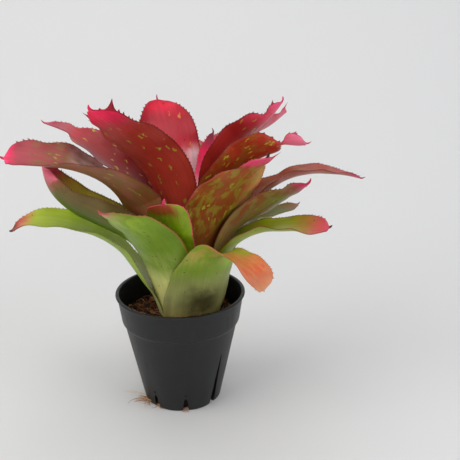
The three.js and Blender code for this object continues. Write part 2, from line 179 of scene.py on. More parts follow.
def tubes(rings: np.ndarray, **values: np.ndarray) -> Patch:
    """Closed tubes through rings of points.

    Quads join each ring to the next one, and each end is zipped shut: point k of the end ring is
    joined to point -k, which suits a flat ring as well as a round one.

    Args:
        rings: array of tubes x rings x sides x 3, with an even number of sides, each ring running
            anticlockwise as seen looking back from the tube's far end.
        values: arrays of tubes x rings x sides (x 3) to store at the points.

    Returns:
        The tubes as one patch.
    """
    count, rows, sides, _ = rings.shape
    k = np.arange(sides)
    row = np.arange(rows - 1)[:, None] * sides
    around = np.stack([row + k, row + (k + 1) % sides], -1)
    walls = np.concatenate([around, around[..., ::-1] + sides], -1).reshape(-1, 4)
    z = np.arange(1, sides // 2 - 1)
    zip_quads = np.stack([z, sides - z, sides - z - 1, z + 1], -1)
    half = sides // 2
    zip_ends = np.array([[0, sides - 1, 1], [half - 1, half + 1, half]])
    last = (rows - 1) * sides
    quads = np.concatenate([walls, zip_quads, zip_quads[:, ::-1] + last])
    triangles = np.concatenate([zip_ends, zip_ends[:, ::-1] + last])
    shift = (np.arange(count) * rows * sides)[:, None, None]
    stored = {
        name: np.broadcast_to(v, rings.shape[:3] + v.shape[3:]).reshape((-1,) + v.shape[3:])
        for name, v in values.items()
    }
    faces = [(quads + shift).reshape(-1, 4), (triangles + shift).reshape(-1, 3)]
    return Patch(rings.reshape(-1, 3), faces, stored)


def joined(patches: list[Patch]) -> Patch:
    """One patch of several.

    Args:
        patches: the patches, which all hold the same values.

    Returns:
        The one patch.
    """
    starts = np.cumsum([0] + [len(p.points) for p in patches[:-1]])
    faces = [f + s for p, s in zip(patches, starts) for f in p.faces]
    values = {
        name: np.concatenate([p.values[name] for p in patches]) for name in patches[0].values
    }
    return Patch(np.concatenate([p.points for p in patches]), faces, values)


def new_object(name: str, patch: Patch, finish: bpy.types.Material) -> bpy.types.Object:
    """Makes a smooth-shaded mesh object at the origin.

    Args:
        name: the object's name.
        patch: its surface in mm.
        finish: its material.

    Returns:
        The object, linked to the scene.
    """
    mesh = bpy.data.meshes.new(name)
    mesh.vertices.add(len(patch.points))
    mesh.vertices.foreach_set("co", (patch.points * MM).astype(np.float32).ravel())
    corners = np.concatenate([f.ravel() for f in patch.faces])
    sizes = np.concatenate([np.full(len(f), f.shape[1]) for f in patch.faces])
    mesh.loops.add(len(corners))
    mesh.loops.foreach_set("vertex_index", corners.astype(np.int32))
    mesh.polygons.add(len(sizes))
    mesh.polygons.foreach_set("loop_start", (np.cumsum(sizes) - sizes).astype(np.int32))
    mesh.polygons.foreach_set("use_smooth", np.ones(len(sizes), bool))
    for value_name, value in patch.values.items():
        kind, key = ("FLOAT", "value") if value.ndim == 1 else ("FLOAT_VECTOR", "vector")
        attribute = mesh.attributes.new(value_name, kind, "POINT")
        attribute.data.foreach_set(key, value.astype(np.float32).ravel())
    mesh.update(calc_edges=True)
    mesh.validate()
    mesh.materials.append(finish)
    made = bpy.data.objects.new(name, mesh)
    bpy.context.scene.collection.objects.link(made)
    return made


def dress(made: bpy.types.Object, slot: str, *nodes: str) -> bpy.types.Object:
    """Lets a piece ride on the part, log its slot, and stand for its CAD nodes.

    Args:
        made: the new piece.
        slot: the record's material slot.
        nodes: the CAD nodes that it replaces.

    Returns:
        The same piece.
    """
    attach(made, ROOT)
    if nodes:
        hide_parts(*nodes)
    faces = len(made.data.polygons)
    LOG.info("%s: %d faces, slot %s, for %s", made.name, faces, slot, ", ".join(nodes) or "no node")
    return made


# ---------------------------------------------------------------- materials

MIX_A, MIX_B, MIX_RESULT = 6, 7, 2  # places of a colour Mix node's inputs and output


def linear(code: str) -> tuple[float, float, float, float]:
    """Linear colour of an sRGB hex code.

    Args:
        code: six hex digits after a #.

    Returns:
        Red, green, blue and an alpha of 1.
    """
    channels = np.array([int(code[i : i + 2], 16) / 255 for i in (1, 3, 5)])
    curved = np.where(channels > 0.04045, ((channels + 0.055) / 1.055) ** 2.4, channels / 12.92)
    return (*map(float, curved), 1.0)


def add_node(
    tree: bpy.types.NodeTree, kind: str, links: dict | None = None, **settings: object
) -> bpy.types.Node:
    """Adds one shader node.

    Args:
        tree: the node tree that it goes in.
        kind: its type's name, without ShaderNode.
        links: for each input's name or number, a socket to join to it or a value to give it.
        settings: the node's own settings.

    Returns:
        The node.
    """
    made = tree.nodes.new("ShaderNode" + kind)
    for name, value in settings.items():
        setattr(made, name, value)
    for key, value in (links or {}).items():
        if isinstance(value, bpy.types.NodeSocket):
            tree.links.new(value, made.inputs[key])
        else:
            made.inputs[key].default_value = value
    return made


class Painter:
    """Builds one material's nodes in a few words."""

    def __init__(self, name: str) -> None:
        """Starts an empty material.

        Args:
            name: the material's name.
        """
        self.material = bpy.data.materials.new(name)
        self.material.use_nodes = True
        self.tree = self.material.node_tree
        self.tree.nodes.clear()

    def add(self, kind: str, links: dict | None = None, **settings: object) -> bpy.types.Node:
        """Adds a node to this material."""
        return add_node(self.tree, kind, links, **settings)

    def value(self, name: str, output: str = "Fac") -> bpy.types.NodeSocket:
        """Reads a value stored at the piece's points."""
        return self.add("Attribute", attribute_name=name).outputs[output]

    def math(self, operation: str, a: object, b: object = 0.0) -> bpy.types.NodeSocket:
        """Works out one sum on two numbers."""
        return self.add("Math", {0: a, 1: b}, operation=operation).outputs[0]

    def product(self, first: object, *others: object) -> bpy.types.NodeSocket:
        """Multiplies several numbers.

        Args:
            first: the first one.
            others: the ones that it is multiplied by.

        Returns:
            The product.
        """
        for other in others:
            first = self.math("MULTIPLY", first, other)
        return first

    def shaken(self, value: object, noise: object, amount: float) -> bpy.types.NodeSocket:
        """The value moved up and down by a noise, by half the amount at most."""
        return self.math("ADD", value, self.product(self.math("SUBTRACT", noise, 0.5), amount))

    def ramp(self, amount: object, low: float, high: float) -> bpy.types.NodeSocket:
        """Smooth step of amount, from 0 at low to 1 at high."""
        links = {"Value": amount, "From Min": low, "From Max": high}
        return self.add("MapRange", links, interpolation_type="SMOOTHSTEP").outputs[0]

    def noise(self, place: object, size: float, detail: float = 2.0) -> bpy.types.NodeSocket:
        """Soft noise with lumps of about size, in the units of place."""
        links = {"Vector": place, "Scale": 1 / size, "Detail": detail}
        return self.add("TexNoise", links).outputs["Fac"]

    def spread(self, amount: object, low: float, high: float) -> bpy.types.NodeSocket:
        """A number from 0 to 1 laid out evenly from low to high."""
        return self.add("MapRange", {"Value": amount, "To Min": low, "To Max": high}).outputs[0]

    def object_mm(self) -> bpy.types.NodeSocket:
        """Places on the piece in millimetres."""
        return self.stretched(self.add("TexCoord").outputs["Object"], 1 / MM, 1 / MM, 1 / MM)

    def blend(self, amount: object, a: object, b: object, how: str = "MIX") -> bpy.types.NodeSocket:
        """Colour a where amount is 0 and b where it is 1."""
        links = {0: amount, MIX_A: a, MIX_B: b}
        return self.add("Mix", links, data_type="RGBA", blend_type=how).outputs[MIX_RESULT]

    def colours(self, place: object, stops: Stops, low: float = 0.0) -> bpy.types.NodeSocket:
        """Colours along a line.

        Args:
            place: the number that they follow, from low to 1.
            stops: each place with its sRGB hex colour, in order.
            low: the number at the line's start.

        Returns:
            The colour.
        """
        at = self.math("DIVIDE", self.math("SUBTRACT", place, low), 1 - low)
        made = self.add("ValToRGB", {"Fac": at})
        for _ in stops[2:]:
            made.color_ramp.elements.new(0.5)
        for element, (position, code) in zip(made.color_ramp.elements, stops):
            element.position = (position - low) / (1 - low)
            element.color = linear(code)
        return made.outputs["Color"]

    def stretched(self, place: object, x: float, y: float, z: float = 1.0) -> bpy.types.NodeSocket:
        """The place scaled along each axis, so that a pattern on it is drawn out."""
        return self.add("Mapping", {"Vector": place, "Scale": (x, y, z)}).outputs[0]

    def finish(
        self, colour: object, roughness: object, height: object, depth_mm: float,
        constants: dict[str, float],
    ) -> bpy.types.Material:
        """Closes the material with a Principled shader.

        Args:
            colour: its base colour.
            roughness: its roughness.
            height: relief between 0 and 1.
            depth_mm: how deep that relief is.
            constants: other inputs of the shader that are the same all over.

        Returns:
            The material.
        """
        bump = self.add("Bump", {"Height": height, "Distance": depth_mm * MM, "Strength": 1.0})
        links = {"Base Color": colour, "Roughness": roughness, "Normal": bump.outputs[0]}
        shader = self.add("BsdfPrincipled", links | constants)
        self.add("OutputMaterial", {"Surface": shader.outputs[0]})
        return self.material


# ---------------------------------------------------------------- leaves

STEM_RADIUS, STEM_TIP_RADIUS = 8.0, 0.4
STEM_SHOULDER, STEM_TOP = 64.0, 73.5
STEM_GAP = 0.3
PLANT_X = 6.0  # the plant stands to the right of the middle of the pot


class Face(Enum):
    """The two faces of a leaf, with the sign of the way each looks."""

    UPPER = 1
    LOWER = -1


@dataclass(frozen=True)
class LeafShape:
    """One leaf's sizes, in mm and degrees.

    layer counts inwards from the outermost bases. rise is the midrib's angle above the horizontal
    and roll its twist, at equal steps along the blade. clasp is how far round the stem each half
    of the base reaches. channel is how far each half of the blade is folded up, and swing how far
    the blade turns sideways. tip is how blunt the end is, neck how far it is pinched before that,
    jag the height of its last spines, and mucro the length of its point. taper says how far the
    base narrows, and shoulder where it starts to turn into the blade.
    """

    name: str
    layer: int
    azimuth: float
    clasp: float
    sheath: float
    blade: float
    width: float
    rise: tuple[float, ...]
    roll: tuple[float, ...]
    channel: float
    tip: float
    swing: float = 0.0
    neck: float = 0.0
    taper: float = 0.0
    shoulder: float = 0.5
    jag: float = 1.0
    mucro: float = 4.0


@dataclass(frozen=True)
class Prong:
    """A large spine near a leaf's tip: its share of the blade, side, height and half-length."""

    share: float
    hand: int
    height: float
    reach: float


@dataclass(frozen=True)
class LeafRows:
    """Rows of points across a leaf, from its foot to its point.

    v is the place across, from -1 to 1. length is measured from the foot, share along the blade
    and past along the point. place, ahead and side are the midrib's frame at each row. free is 0
    where the leaf clasps the stem and 1 where the blade stands clear. half is half the row's
    width and least its lower limit. Each half is an arc of angle fold that opens towards arch.
    """

    v: np.ndarray
    length: np.ndarray
    share: np.ndarray
    past: np.ndarray
    place: np.ndarray
    ahead: np.ndarray
    side: np.ndarray
    arch: np.ndarray
    free: np.ndarray
    half: np.ndarray
    least: np.ndarray
    fold: np.ndarray

    def facing(self) -> np.ndarray:
        """The way that the upper face looks, at right angles to the way ahead.

        Returns:
            A direction for each point of each row.
        """
        angle = self.fold * self.v
        cos, sin = np.cos(angle)[..., None], np.sin(angle)[..., None]
        facing = self.arch[:, None] * cos - self.side[:, None] * sin
        forward = turned_about_z(self.ahead[:, None], angle * (1 - self.free)[:, None])
        return unit(facing - forward * (facing * forward).sum(-1, keepdims=True))

    def arcs(self) -> np.ndarray:
        """The plain middle surface.

        At v it is place + side * r sin(a) + arch * r (1 - cos a), with a = fold * v and r the
        half-width over the fold.

        Returns:
            A place for each point of each row.
        """
        angle = self.fold * self.v
        bend = self.half[:, None] / self.fold
        middle = self.place[:, None] + self.side[:, None] * (bend * np.sin(angle))[..., None]
        return middle + self.arch[:, None] * (bend * (1 - np.cos(angle)))[..., None]


@dataclass(frozen=True)
class LeafSurface:
    """Turns a leaf's sizes into its closed, spiny surface."""

    shape: LeafShape
    foot_height: float = 58.0
    foot_angle: float = 15.0
    foot_bend: float = 8.0
    sheath_radius: float = 20.5
    sheath_angle: float = 74.0
    sheath_angle_step: float = 1.1
    layer_pitch: float = 1.2
    layer_rise: float = 1.2
    step: float = 0.25
    row_pitch: float = 1.5
    columns: int = 18
    midrib_half: float = 0.45
    margin_half: float = 0.16
    tip_half: float = 0.6
    spine_pitch: float = 2.5
    spine_height: float = 0.75
    spine_lean: float = 0.9
    spine_start: float = 0.55  # share of the sheath
    spine_end: float = 0.99  # share of the blade
    jag_start: float = 0.72  # share of the blade
    spine_seed: int = 1000
    mucro_radius: float = 0.7
    mucro_lift: float = 60.0
    neck_place: float = 0.81
    neck_reach: float = 0.06
    wave: float = 0.7
    wave_length: float = 26.0
    bulge: float = 0.0
    bulge_length: float = 11.0
    prongs: tuple[Prong, ...] = ()

    @property
    def end(self) -> float:
        """Length from the foot to the end of the blade."""
        return self.shape.sheath + self.shape.blade

    def midrib(self) -> tuple[np.ndarray, ...]:
        """The midrib as lengths from the foot, places, and ahead, side and up vectors.

        The places are the running sum of steps along the rise and the heading. The rise goes from
        the foot's angle to the sheath's over the bend, then to the blade's first angle with the
        cube of the way, and then along the blade's own list. Past the blade it turns up along the
        leaf's point.

        Returns:
            Those five arrays, a step apart.
        """
        s = self.shape
        height = self.foot_height + self.layer_rise * s.layer
        steep = self.sheath_angle + self.sheath_angle_step * s.layer
        bend_run = self.foot_bend * math.cos(math.radians((self.foot_angle + steep) / 2))
        taper = np.clip((height - STEM_SHOULDER) / (STEM_TOP - STEM_SHOULDER), 0, 1)
        stem = float(mix(STEM_RADIUS, STEM_TIP_RADIUS, taper)) + STEM_GAP
        reach = self.sheath_radius - self.layer_pitch * s.layer - bend_run - stem
        run = max(0.0, reach) / math.cos(math.radians(self.foot_angle))
        bend_end = run + self.foot_bend
        length = np.arange(0, self.end + s.mucro + self.step / 2, self.step)
        share = np.clip((length - s.sheath) / s.blade, 0, 1)
        bent = mix(self.foot_angle, steep, smooth(length, run, bend_end))
        leaned = mix(steep, s.rise[0], smooth(length, bend_end, s.sheath) ** 3)
        along = np.interp(share, np.linspace(0, 1, len(s.rise)), s.rise)
        lift = self.mucro_lift * np.clip((length - self.end) / s.mucro, 0, 1)
        rise = np.where(length < bend_end, bent, np.where(length < s.sheath, leaned, along + lift))
        heading = np.radians(s.azimuth + s.swing * share**1.5)
        roll = np.radians(np.interp(share, np.linspace(0, 1, len(s.roll)), s.roll))[:, None]
        ahead = towards(heading, np.radians(rise))
        level = np.stack([-np.sin(heading), np.cos(heading), 0 * heading], -1)
        above = np.cross(ahead, level)
        side = level * np.cos(roll) + above * np.sin(roll)
        up = above * np.cos(roll) - level * np.sin(roll)
        out = math.radians(s.azimuth)
        start = np.array([PLANT_X + stem * math.cos(out), stem * math.sin(out), height])
        travelled = np.cumsum(ahead * self.step, 0) - ahead * self.step
        return length, start + travelled, ahead, side, up

    def half_width(self, share: np.ndarray) -> np.ndarray:
        """Half the blade's width: nearly parallel sides, a neck, and a round end.

        width/2 * (0.86 + 0.14 sin(pi u)) * sqrt(1 - u^tip) * (1 - neck * a bell round neck_place).

        Args:
            share: places along the blade from 0 to 1.

        Returns:
            The half-width at each place.
        """
        s = self.shape
        u = np.clip(share, 0, 1)
        swell = 0.86 + 0.14 * np.sin(np.pi * u)
        pinch = 1 - s.neck * np.exp(-(((u - self.neck_place) / self.neck_reach) ** 2))
        return s.width / 2 * swell * np.sqrt(1 - u**s.tip) * pinch

    def spines(self, hand: int) -> tuple[np.ndarray, np.ndarray]:
        """Spines along one margin, as a broken line of height against length.

        Each spine is the line's three points 0, h, 0. Their spacing grows with their height, and
        both are drawn at random round their means.

        Args:
            hand: 1 or -1, for the margin's side.

        Returns:
            The broken line's lengths and heights.
        """
        s = self.shape
        draw = np.random.default_rng(self.spine_seed + 10 * s.layer + int(s.azimuth) + hand)
        last = s.sheath + s.blade * self.spine_end
        length = np.arange(self.spine_start * s.sheath, last, self.step)
        share = (length - s.sheath) / s.blade
        tall = mix(self.spine_height, s.jag, smooth(share, self.jag_start, 1))
        tall = tall * smooth(length, 0.5 * s.sheath, s.sheath)
        count = np.cumsum(self.step / (self.spine_pitch + 1.2 * np.maximum(tall - 1, 0)))
        number = np.arange(1, int(count[-1])) + draw.uniform(-0.2, 0.2, int(count[-1]) - 1)
        centre = np.interp(number, count, length)
        height = np.interp(centre, length, tall) * draw.uniform(0.55, 1.1, len(centre))
        reach = 0.45 + 0.35 * height
        at = np.stack([centre - reach, centre, centre + 0.5 * reach], -1)
        return at.ravel(), (height[:, None] * np.array([0, 1, 0])).ravel()

    def prong_line(self, prong: Prong) -> tuple[np.ndarray, np.ndarray]:
        """A prong as a broken line of height against length, hollow on both its sides.

        Args:
            prong: the prong.

        Returns:
            The broken line's lengths and heights.
        """
        centre = self.shape.sheath + prong.share * self.shape.blade
        way = np.array([-1, -0.7, -0.45, -0.22, 0, 0.15, 0.35, 0.6])
        height = np.array([0, 0.08, 0.24, 0.55, 1, 0.5, 0.18, 0])
        return centre + prong.reach * way, prong.height * height

    def spine_heights(self, length: np.ndarray, hand: int) -> np.ndarray:
        """How far the margin stands out: the highest of its spines and prongs.

        Args:
            length: places from the foot.
            hand: 1 or -1, for the margin's side.

        Returns:
            The height at each place.
        """
        lines = [self.prong_line(prong) for prong in self.prongs if prong.hand == hand]
        heights = [
            np.interp(length, *line, left=0, right=0) for line in [self.spines(hand), *lines]
        ]
        return np.max(heights, axis=0)

    def row_lengths(self) -> np.ndarray:
        """Where the rows of points lie: at every spine's corners, and evenly between.

        Returns:
            Their lengths from the foot, in order.
        """
        s = self.shape
        round_end = self.end - 0.12 * s.blade * np.linspace(1, 0, 22) ** 2
        base = np.linspace(0, 0.5 * s.sheath, 22)
        even = np.arange(0.5 * s.sheath, self.end - 0.1 * s.blade, self.row_pitch)
        point = np.linspace(self.end, self.end + s.mucro, 9)
        lines = [self.spines(hand)[0] for hand in (-1, 1)]
        lines += [self.prong_line(prong)[0] for prong in self.prongs]
        found = np.sort(np.concatenate([base, even, round_end, point, *lines]))
        return found[np.concatenate([[True], np.diff(found) > 0.05])]

    def rows(self) -> LeafRows:
        """Rows whose widths and folds go from the clasping base to the channelled blade.

        Returns:
            The leaf's rows.
        """
        s = self.shape
        v = np.linspace(-1, 1, self.columns + 1)
        v = 0.65 * v + 0.35 * np.sin(v * np.pi / 2)
        known, *frames = self.midrib()
        length = self.row_lengths()
        place, ahead, side, up = (
            np.stack([np.interp(length, known, f[:, k]) for k in range(3)], -1) for f in frames
        )
        share = (length - s.sheath) / s.blade
        past = np.clip((length - s.sheath - s.blade) / s.mucro, 0, 1)
        radius = np.hypot(place[:, 0] - PLANT_X, place[:, 1])
        free = smooth(length, 0.7 * s.sheath, s.sheath + 0.25 * s.blade)
        narrowed = smooth(length, s.shoulder * s.sheath, s.sheath + 0.2 * s.blade)
        clasp = math.radians(s.clasp) * (1 - s.taper * smooth(length, 0.2 * s.sheath, s.sheath))
        least = self.mucro_radius * (0.1 + 0.9 * (1 - past) ** 0.8)
        half = np.maximum(mix(clasp * radius, self.half_width(share), narrowed), least)
        opened = (1 - 0.4 * np.clip(share, 0, 1)) * (1 - smooth(share, 0.97, 1))
        fold = np.maximum(mix(half / radius, math.radians(s.channel) * opened, free), 0.02)
        inward = np.stack([PLANT_X - place[:, 0], -place[:, 1], 0 * radius], -1)
        arch = unit(unit(inward) * (1 - free)[:, None] + up * free[:, None])
        return LeafRows(
            v, length, share, past, place, ahead, side, arch, free, half, least, fold[:, None]
        )

    def patch(self) -> Patch:
        """The leaf's closed surface.

        The middle surface is made of arcs, with waves and bulges. The base's arc runs round the
        stem, and the blade's is its own channel. Each face lies half the thickness off it, and
        the spines stand out of the edge between the faces.

        Returns:
            The surface, with the values that the finish reads.
        """
        rows = self.rows()
        facing = rows.facing()
        middle = rows.arcs() + facing * self.waves(rows)[..., None]
        middle = middle - facing * self.bulges(rows)[..., None]
        offset = facing * self.half_thickness(rows)[..., None]
        edges = [self.edge(rows, middle, hand)[:, None] for hand in (-1, 1)]
        upper, lower = (middle + face.value * offset for face in Face)
        rings = np.concatenate([edges[1], upper[:, ::-1], edges[0], lower], 1)
        return tubes(rings[None], **self.looks(rows))

    def waves(self, rows: LeafRows) -> np.ndarray:
        """How far the margins wave off the middle surface, growing with the square of v.

        Args:
            rows: the leaf's rows.

        Returns:
            The distance at each point.
        """
        phase = 2 * np.pi * rows.length / self.wave_length + self.shape.azimuth
        size = self.wave * smooth(rows.share, 0.1, 0.5) * (1 - smooth(rows.share, 0.9, 1.0))
        right, left = np.sin(phase)[:, None], np.cos(1.3 * phase)[:, None]
        return size[:, None] * np.where(rows.v > 0, right, left) * rows.v**2

    def bulges(self, rows: LeafRows) -> np.ndarray:
        """How far the base stands outwards in soft ridges over the leaf bases inside it.

        It is bulge * (1 + cos(2 pi across / bulge_length)) / 2, fading up the sheath.

        Args:
            rows: the leaf's rows.

        Returns:
            The distance at each point.
        """
        way = rows.length / self.shape.sheath
        size = self.bulge * smooth(way, 0.12, 0.3) * (1 - smooth(way, 0.42, 0.8))
        across = rows.v * rows.half[:, None]
        return size[:, None] * (1 + np.cos(2 * np.pi * across / self.bulge_length)) / 2

    def half_thickness(self, rows: LeafRows) -> np.ndarray:
        """Half the leaf's thickness: most at the midrib, and a round needle at the point.

        Args:
            rows: the leaf's rows.

        Returns:
            The half-thickness at each point.
        """
        flat = mix(self.margin_half, self.midrib_half, np.sqrt(1 - rows.v**2))[None]
        needle = rows.least[:, None] * np.sqrt(1 - 0.96 * rows.v**2)
        tip = smooth(rows.share, 0.9, 1.0)[:, None]
        return mix(flat, np.minimum(needle, self.tip_half), tip)

    def edge(self, rows: LeafRows, middle: np.ndarray, hand: int) -> np.ndarray:
        """Points along one margin, pushed out and forwards where a spine stands.

        Args:
            rows: the leaf's rows.
            middle: the middle surface.
            hand: 1 or -1, for the margin's side.

        Returns:
            A place for each row.
        """
        outer = middle[:, 0 if hand < 0 else -1]
        outwards = hand * rows.side * np.cos(rows.fold) + rows.arch * np.sin(rows.fold)
        height = self.spine_heights(rows.length, hand)[:, None]
        lean = rows.ahead * self.spine_lean * height
        return outer + outwards * (self.margin_half + height) + lean

    def looks(self, rows: LeafRows) -> dict[str, np.ndarray]:
        """What the finish reads, in the order of the closed rings.

        Args:
            rows: the leaf's rows.

        Returns:
            Places across and along the leaf, its face, and a place in mm that no two leaves share.
        """
        s = self.shape
        across = np.concatenate([[1.04], rows.v[::-1], [-1.04], rows.v])
        face = np.ones(len(rows.v))
        upper = np.concatenate([[0.5], face, [0.5], 0 * face])
        along = np.where(rows.share < 0, rows.share * s.blade / s.sheath, rows.share)
        own = 37.0 * s.layer + s.azimuth
        flat = across * rows.half[:, None] + own, rows.length[:, None]
        place_mm = np.stack(np.broadcast_arrays(*flat, own), -1)
        return {
            "across": across[None, None],
            "upper": upper[None, None],
            "along": (along + 0.2 * rows.past)[None, :, None],
            "place_mm": place_mm[None],
        }


@dataclass(frozen=True)
class LeafFinish:
    """Waxy bromeliad leaf: living tissue with a cuticle that gives a soft gloss.

    The colours run along the leaf on a scale with its foot at -1, the start of the blade at 0 and
    its end at 1. margin is the thin line at the edge and flush the wide blush inside it. side
    tints one half of the leaf between two places along it, mottle is the soft patches, fleck the
    lengthwise spots, speckle the share of cells with a small dark mark, stain the dark smudge at
    the foot, mucro the spine at the tip and teeth the ones along the margin. The sizes in mm are
    the widths of the veins, clouds, patches, flecks, the specks' cells, and the skin's grain.
    """

    name: str
    under: Stops
    over: Stops
    margin: tuple[str, float] = ("#a8484c", 0.6)
    flush: tuple[str, float] = ("#a8484c", 0.0)
    # On three leaves the side tint is painted light, not the leaf's own colour: a painted sheen, a
    # painted highlight, and a half lightened where it lies in shade.
    side: tuple[str, int, float, float, float] = ("#808040", 1, 0.0, 0.0, 1.0)
    mottle: tuple[str, float] = ("#7c7a38", 0.0)
    fleck: tuple[str, float] = ("#a8a03c", 0.0)
    speckle: tuple[str, float] = ("#3c200c", 0.02)
    stain: tuple[str, float] = ("#3a2c14", 0.0)
    mucro: str = "#4a1c20"
    teeth: tuple[str, float] = ("#4c1c14", 0.6)
    roughness: tuple[float, float] = (0.38, 0.52)
    relief_mm: float = 0.25
    vein_mm: float = 1.3
    cloud_mm: float = 16.0
    patch_mm: float = 4.5
    fleck_mm: tuple[float, float] = (2.4, 7.5)  # width and length
    speck_mm: float = 3.0
    grain_mm: float = 0.6
    cuticle: tuple[tuple[str, float], ...] = (
        ("Coat Weight", 0.12), ("Coat Roughness", 0.16), ("Specular IOR Level", 0.24),
    )

    def material(self) -> bpy.types.Material:
        """Paints the leaf's material."""
        return LeafPainter(self).paint()


class LeafPainter(Painter):
    """Paints a leaf in layers, each laid over the colour so far."""

    def __init__(self, look: LeafFinish) -> None:
        """Reads the leaf's own values, and starts with the colours of its two faces.

        Args:
            look: the leaf's finish.
        """
        super().__init__("waxy_leaf_" + look.name)
        self.look = look
        self.place = self.value("place_mm", "Vector")
        self.along, self.across = self.value("along"), self.value("across")
        self.edge = self.math("ABSOLUTE", self.across)
        self.ragged = self.shaken(self.along, self.noise(self.place, 7.0), 0.12)
        under, over = (self.colours(self.ragged, s, -1.0) for s in (look.under, look.over))
        self.colour = self.blend(self.value("upper"), under, over)

    def paint(self) -> bpy.types.Material:
        """Lays every layer in order, under the cuticle.

        Returns:
            The leaf's material.
        """
        look = self.look
        self.tint(*look.side)
        self.band(look.flush, (0.45, 1.0))
        self.mottle(*look.mottle)
        veins = self.noise(self.stretched(self.place, 1.0, 0.03), look.vein_mm, 3.0)
        self.shade(veins)
        self.fleck(*look.fleck)
        self.speckle(*look.speckle)
        self.band(look.margin, (0.93, 1.0))
        self.teeth(*look.teeth)
        self.lay(self.ramp(self.along, 1.02, 1.1), look.mucro)
        self.stain(*look.stain)
        grain = self.noise(self.place, look.grain_mm, 3.0)
        relief = self.math("ADD", self.product(veins, 0.8), self.product(grain, 0.2))
        rough = self.spread(grain, *look.roughness)
        return self.finish(self.colour, rough, relief, look.relief_mm, dict(look.cuticle))

    def lay(self, amount: object, code: str) -> None:
        """Lays a colour over what is there, as much as amount says."""
        self.colour = self.blend(amount, self.colour, linear(code))

    def less(self, amount: object) -> bpy.types.NodeSocket:
        """One less the amount."""
        return self.math("SUBTRACT", 1.0, amount)

    def tint(self, code: str, hand: int, amount: float, start: float, end: float) -> None:
        """Turns one half of the blade towards another colour.

        Args:
            code: that colour.
            hand: 1 or -1, for the half.
            amount: how far it turns.
            start: where along the leaf it starts.
            end: where it has faded out.
        """
        if amount:
            fade = 0.15
            half = self.ramp(self.product(self.across, float(hand)), 0.25, 0.85)
            after = self.ramp(self.ragged, start, start + fade)
            before = self.less(self.ramp(self.ragged, end - fade, end))
            self.lay(self.product(half, after, before, amount), code)

    def band(self, band: tuple[str, float], reach: tuple[float, float]) -> None:
        """Lays a band along both margins of the blade.

        Args:
            band: its colour and strength.
            reach: where it starts and is full, from 0 at the midrib to 1 at the margins.
        """
        code, amount = band
        if amount:
            rim = self.ramp(self.edge, *reach)
            self.lay(self.product(rim, self.ramp(self.along, -0.35, 0.1), amount), code)

    def mottle(self, code: str, amount: float) -> None:
        """Lays soft lengthwise patches, broken up by finer ones.

        Args:
            code: their colour.
            amount: their strength.
        """
        if amount:
            drawn_out = self.stretched(self.place, 1.0, 0.45)
            patches = self.noise(drawn_out, self.look.patch_mm, 6.0)
            start, end = self.ramp(self.along, -0.1, 0.15), self.ramp(self.along, 0.92, 0.82)
            self.lay(self.product(self.ramp(patches, 0.46, 0.58), start, end, amount), code)

    def shade(self, veins: object) -> None:
        """Shades the colour by the lengthwise veins and by wide soft clouds.

        Args:
            veins: the veins' noise.
        """
        clouds = self.spread(self.noise(self.place, self.look.cloud_mm), 0.8, 1.2)
        dark = self.product(self.spread(veins, 0.8, 1.16), clouds)
        grey = self.add("CombineColor", {0: dark, 1: dark, 2: dark}).outputs[0]
        self.colour = self.blend(1.0, self.colour, grey, "MULTIPLY")

    def cells(self, wobble: float, wide: float, long: float) -> tuple[object, object]:
        """Irregular cells that a pattern of spots is drawn in.

        Args:
            wobble: how far the cells are pushed about, in mm.
            wide: their width in mm.
            long: their length in mm.

        Returns:
            Each place's distance from its cell's middle, and the cell's chance from 0 to 1.
        """
        noise = self.add("TexNoise", {"Vector": self.place, "Scale": 0.35}).outputs["Color"]
        shift = self.add("VectorMath", {0: noise, "Scale": wobble}, operation="SCALE").outputs[0]
        moved = self.add("VectorMath", {0: self.place, 1: shift}, operation="ADD").outputs[0]
        links = {"Vector": self.stretched(moved, 1 / wide, 1 / long), "Scale": 1.0}
        found = self.add("TexVoronoi", links, voronoi_dimensions="2D")
        chance = self.add("SeparateColor", {0: found.outputs["Color"]}).outputs[0]
        return found.outputs["Distance"], chance

    def fleck(self, code: str, amount: float) -> None:
        """Scatters wavy spots and streaks, up to 7 mm long.

        Args:
            code: their colour.
            amount: the share of cells that hold one.
        """
        if amount:
            distance, chance = self.cells(5.0, *self.look.fleck_mm)
            size = self.product(self.math("SUBTRACT", chance, 1 - amount), 0.34 / amount)
            size = self.shaken(size, self.noise(self.place, 1.6), 0.3)
            spot = self.ramp(self.math("SUBTRACT", size, distance), -0.04, 0.07)
            start, end = self.ramp(self.along, -0.3, 0.05), self.ramp(self.along, 0.9, 0.76)
            self.lay(self.product(spot, start, end, 0.85), code)

    def speckle(self, code: str, amount: float) -> None:
        """Scatters a few dark marks about 1 mm across.

        Args:
            code: their colour.
            amount: the share of cells that hold one.
        """
        distance, chance = self.cells(1.0, self.look.speck_mm, self.look.speck_mm)
        found = self.ramp(self.math("SUBTRACT", chance, 1 - amount), 0.0, 0.01)
        self.lay(self.product(found, self.less(self.ramp(distance, 0.08, 0.2))), code)

    def teeth(self, code: str, amount: float) -> None:
        """Darkens the spines along the margins, less towards the tip."""
        outside = self.ramp(self.edge, 1.0, 1.03)
        self.lay(self.product(outside, self.ramp(self.along, 0.92, 0.7), amount), code)

    def stain(self, code: str, amount: float) -> None:
        """Lays a dark smudge on the middle of the foot, ragged above.

        Args:
            code: its colour.
            amount: its strength.
        """
        if amount:
            ragged = self.shaken(self.along, self.noise(self.place, 9.0, 3.0), 0.3)
            high = self.product(self.ramp(ragged, -0.22, -0.46), self.ramp(ragged, -0.76, -0.5))
            wide = self.less(self.ramp(self.edge, 0.1, 0.8))
            self.lay(self.product(high, wide, amount), code)


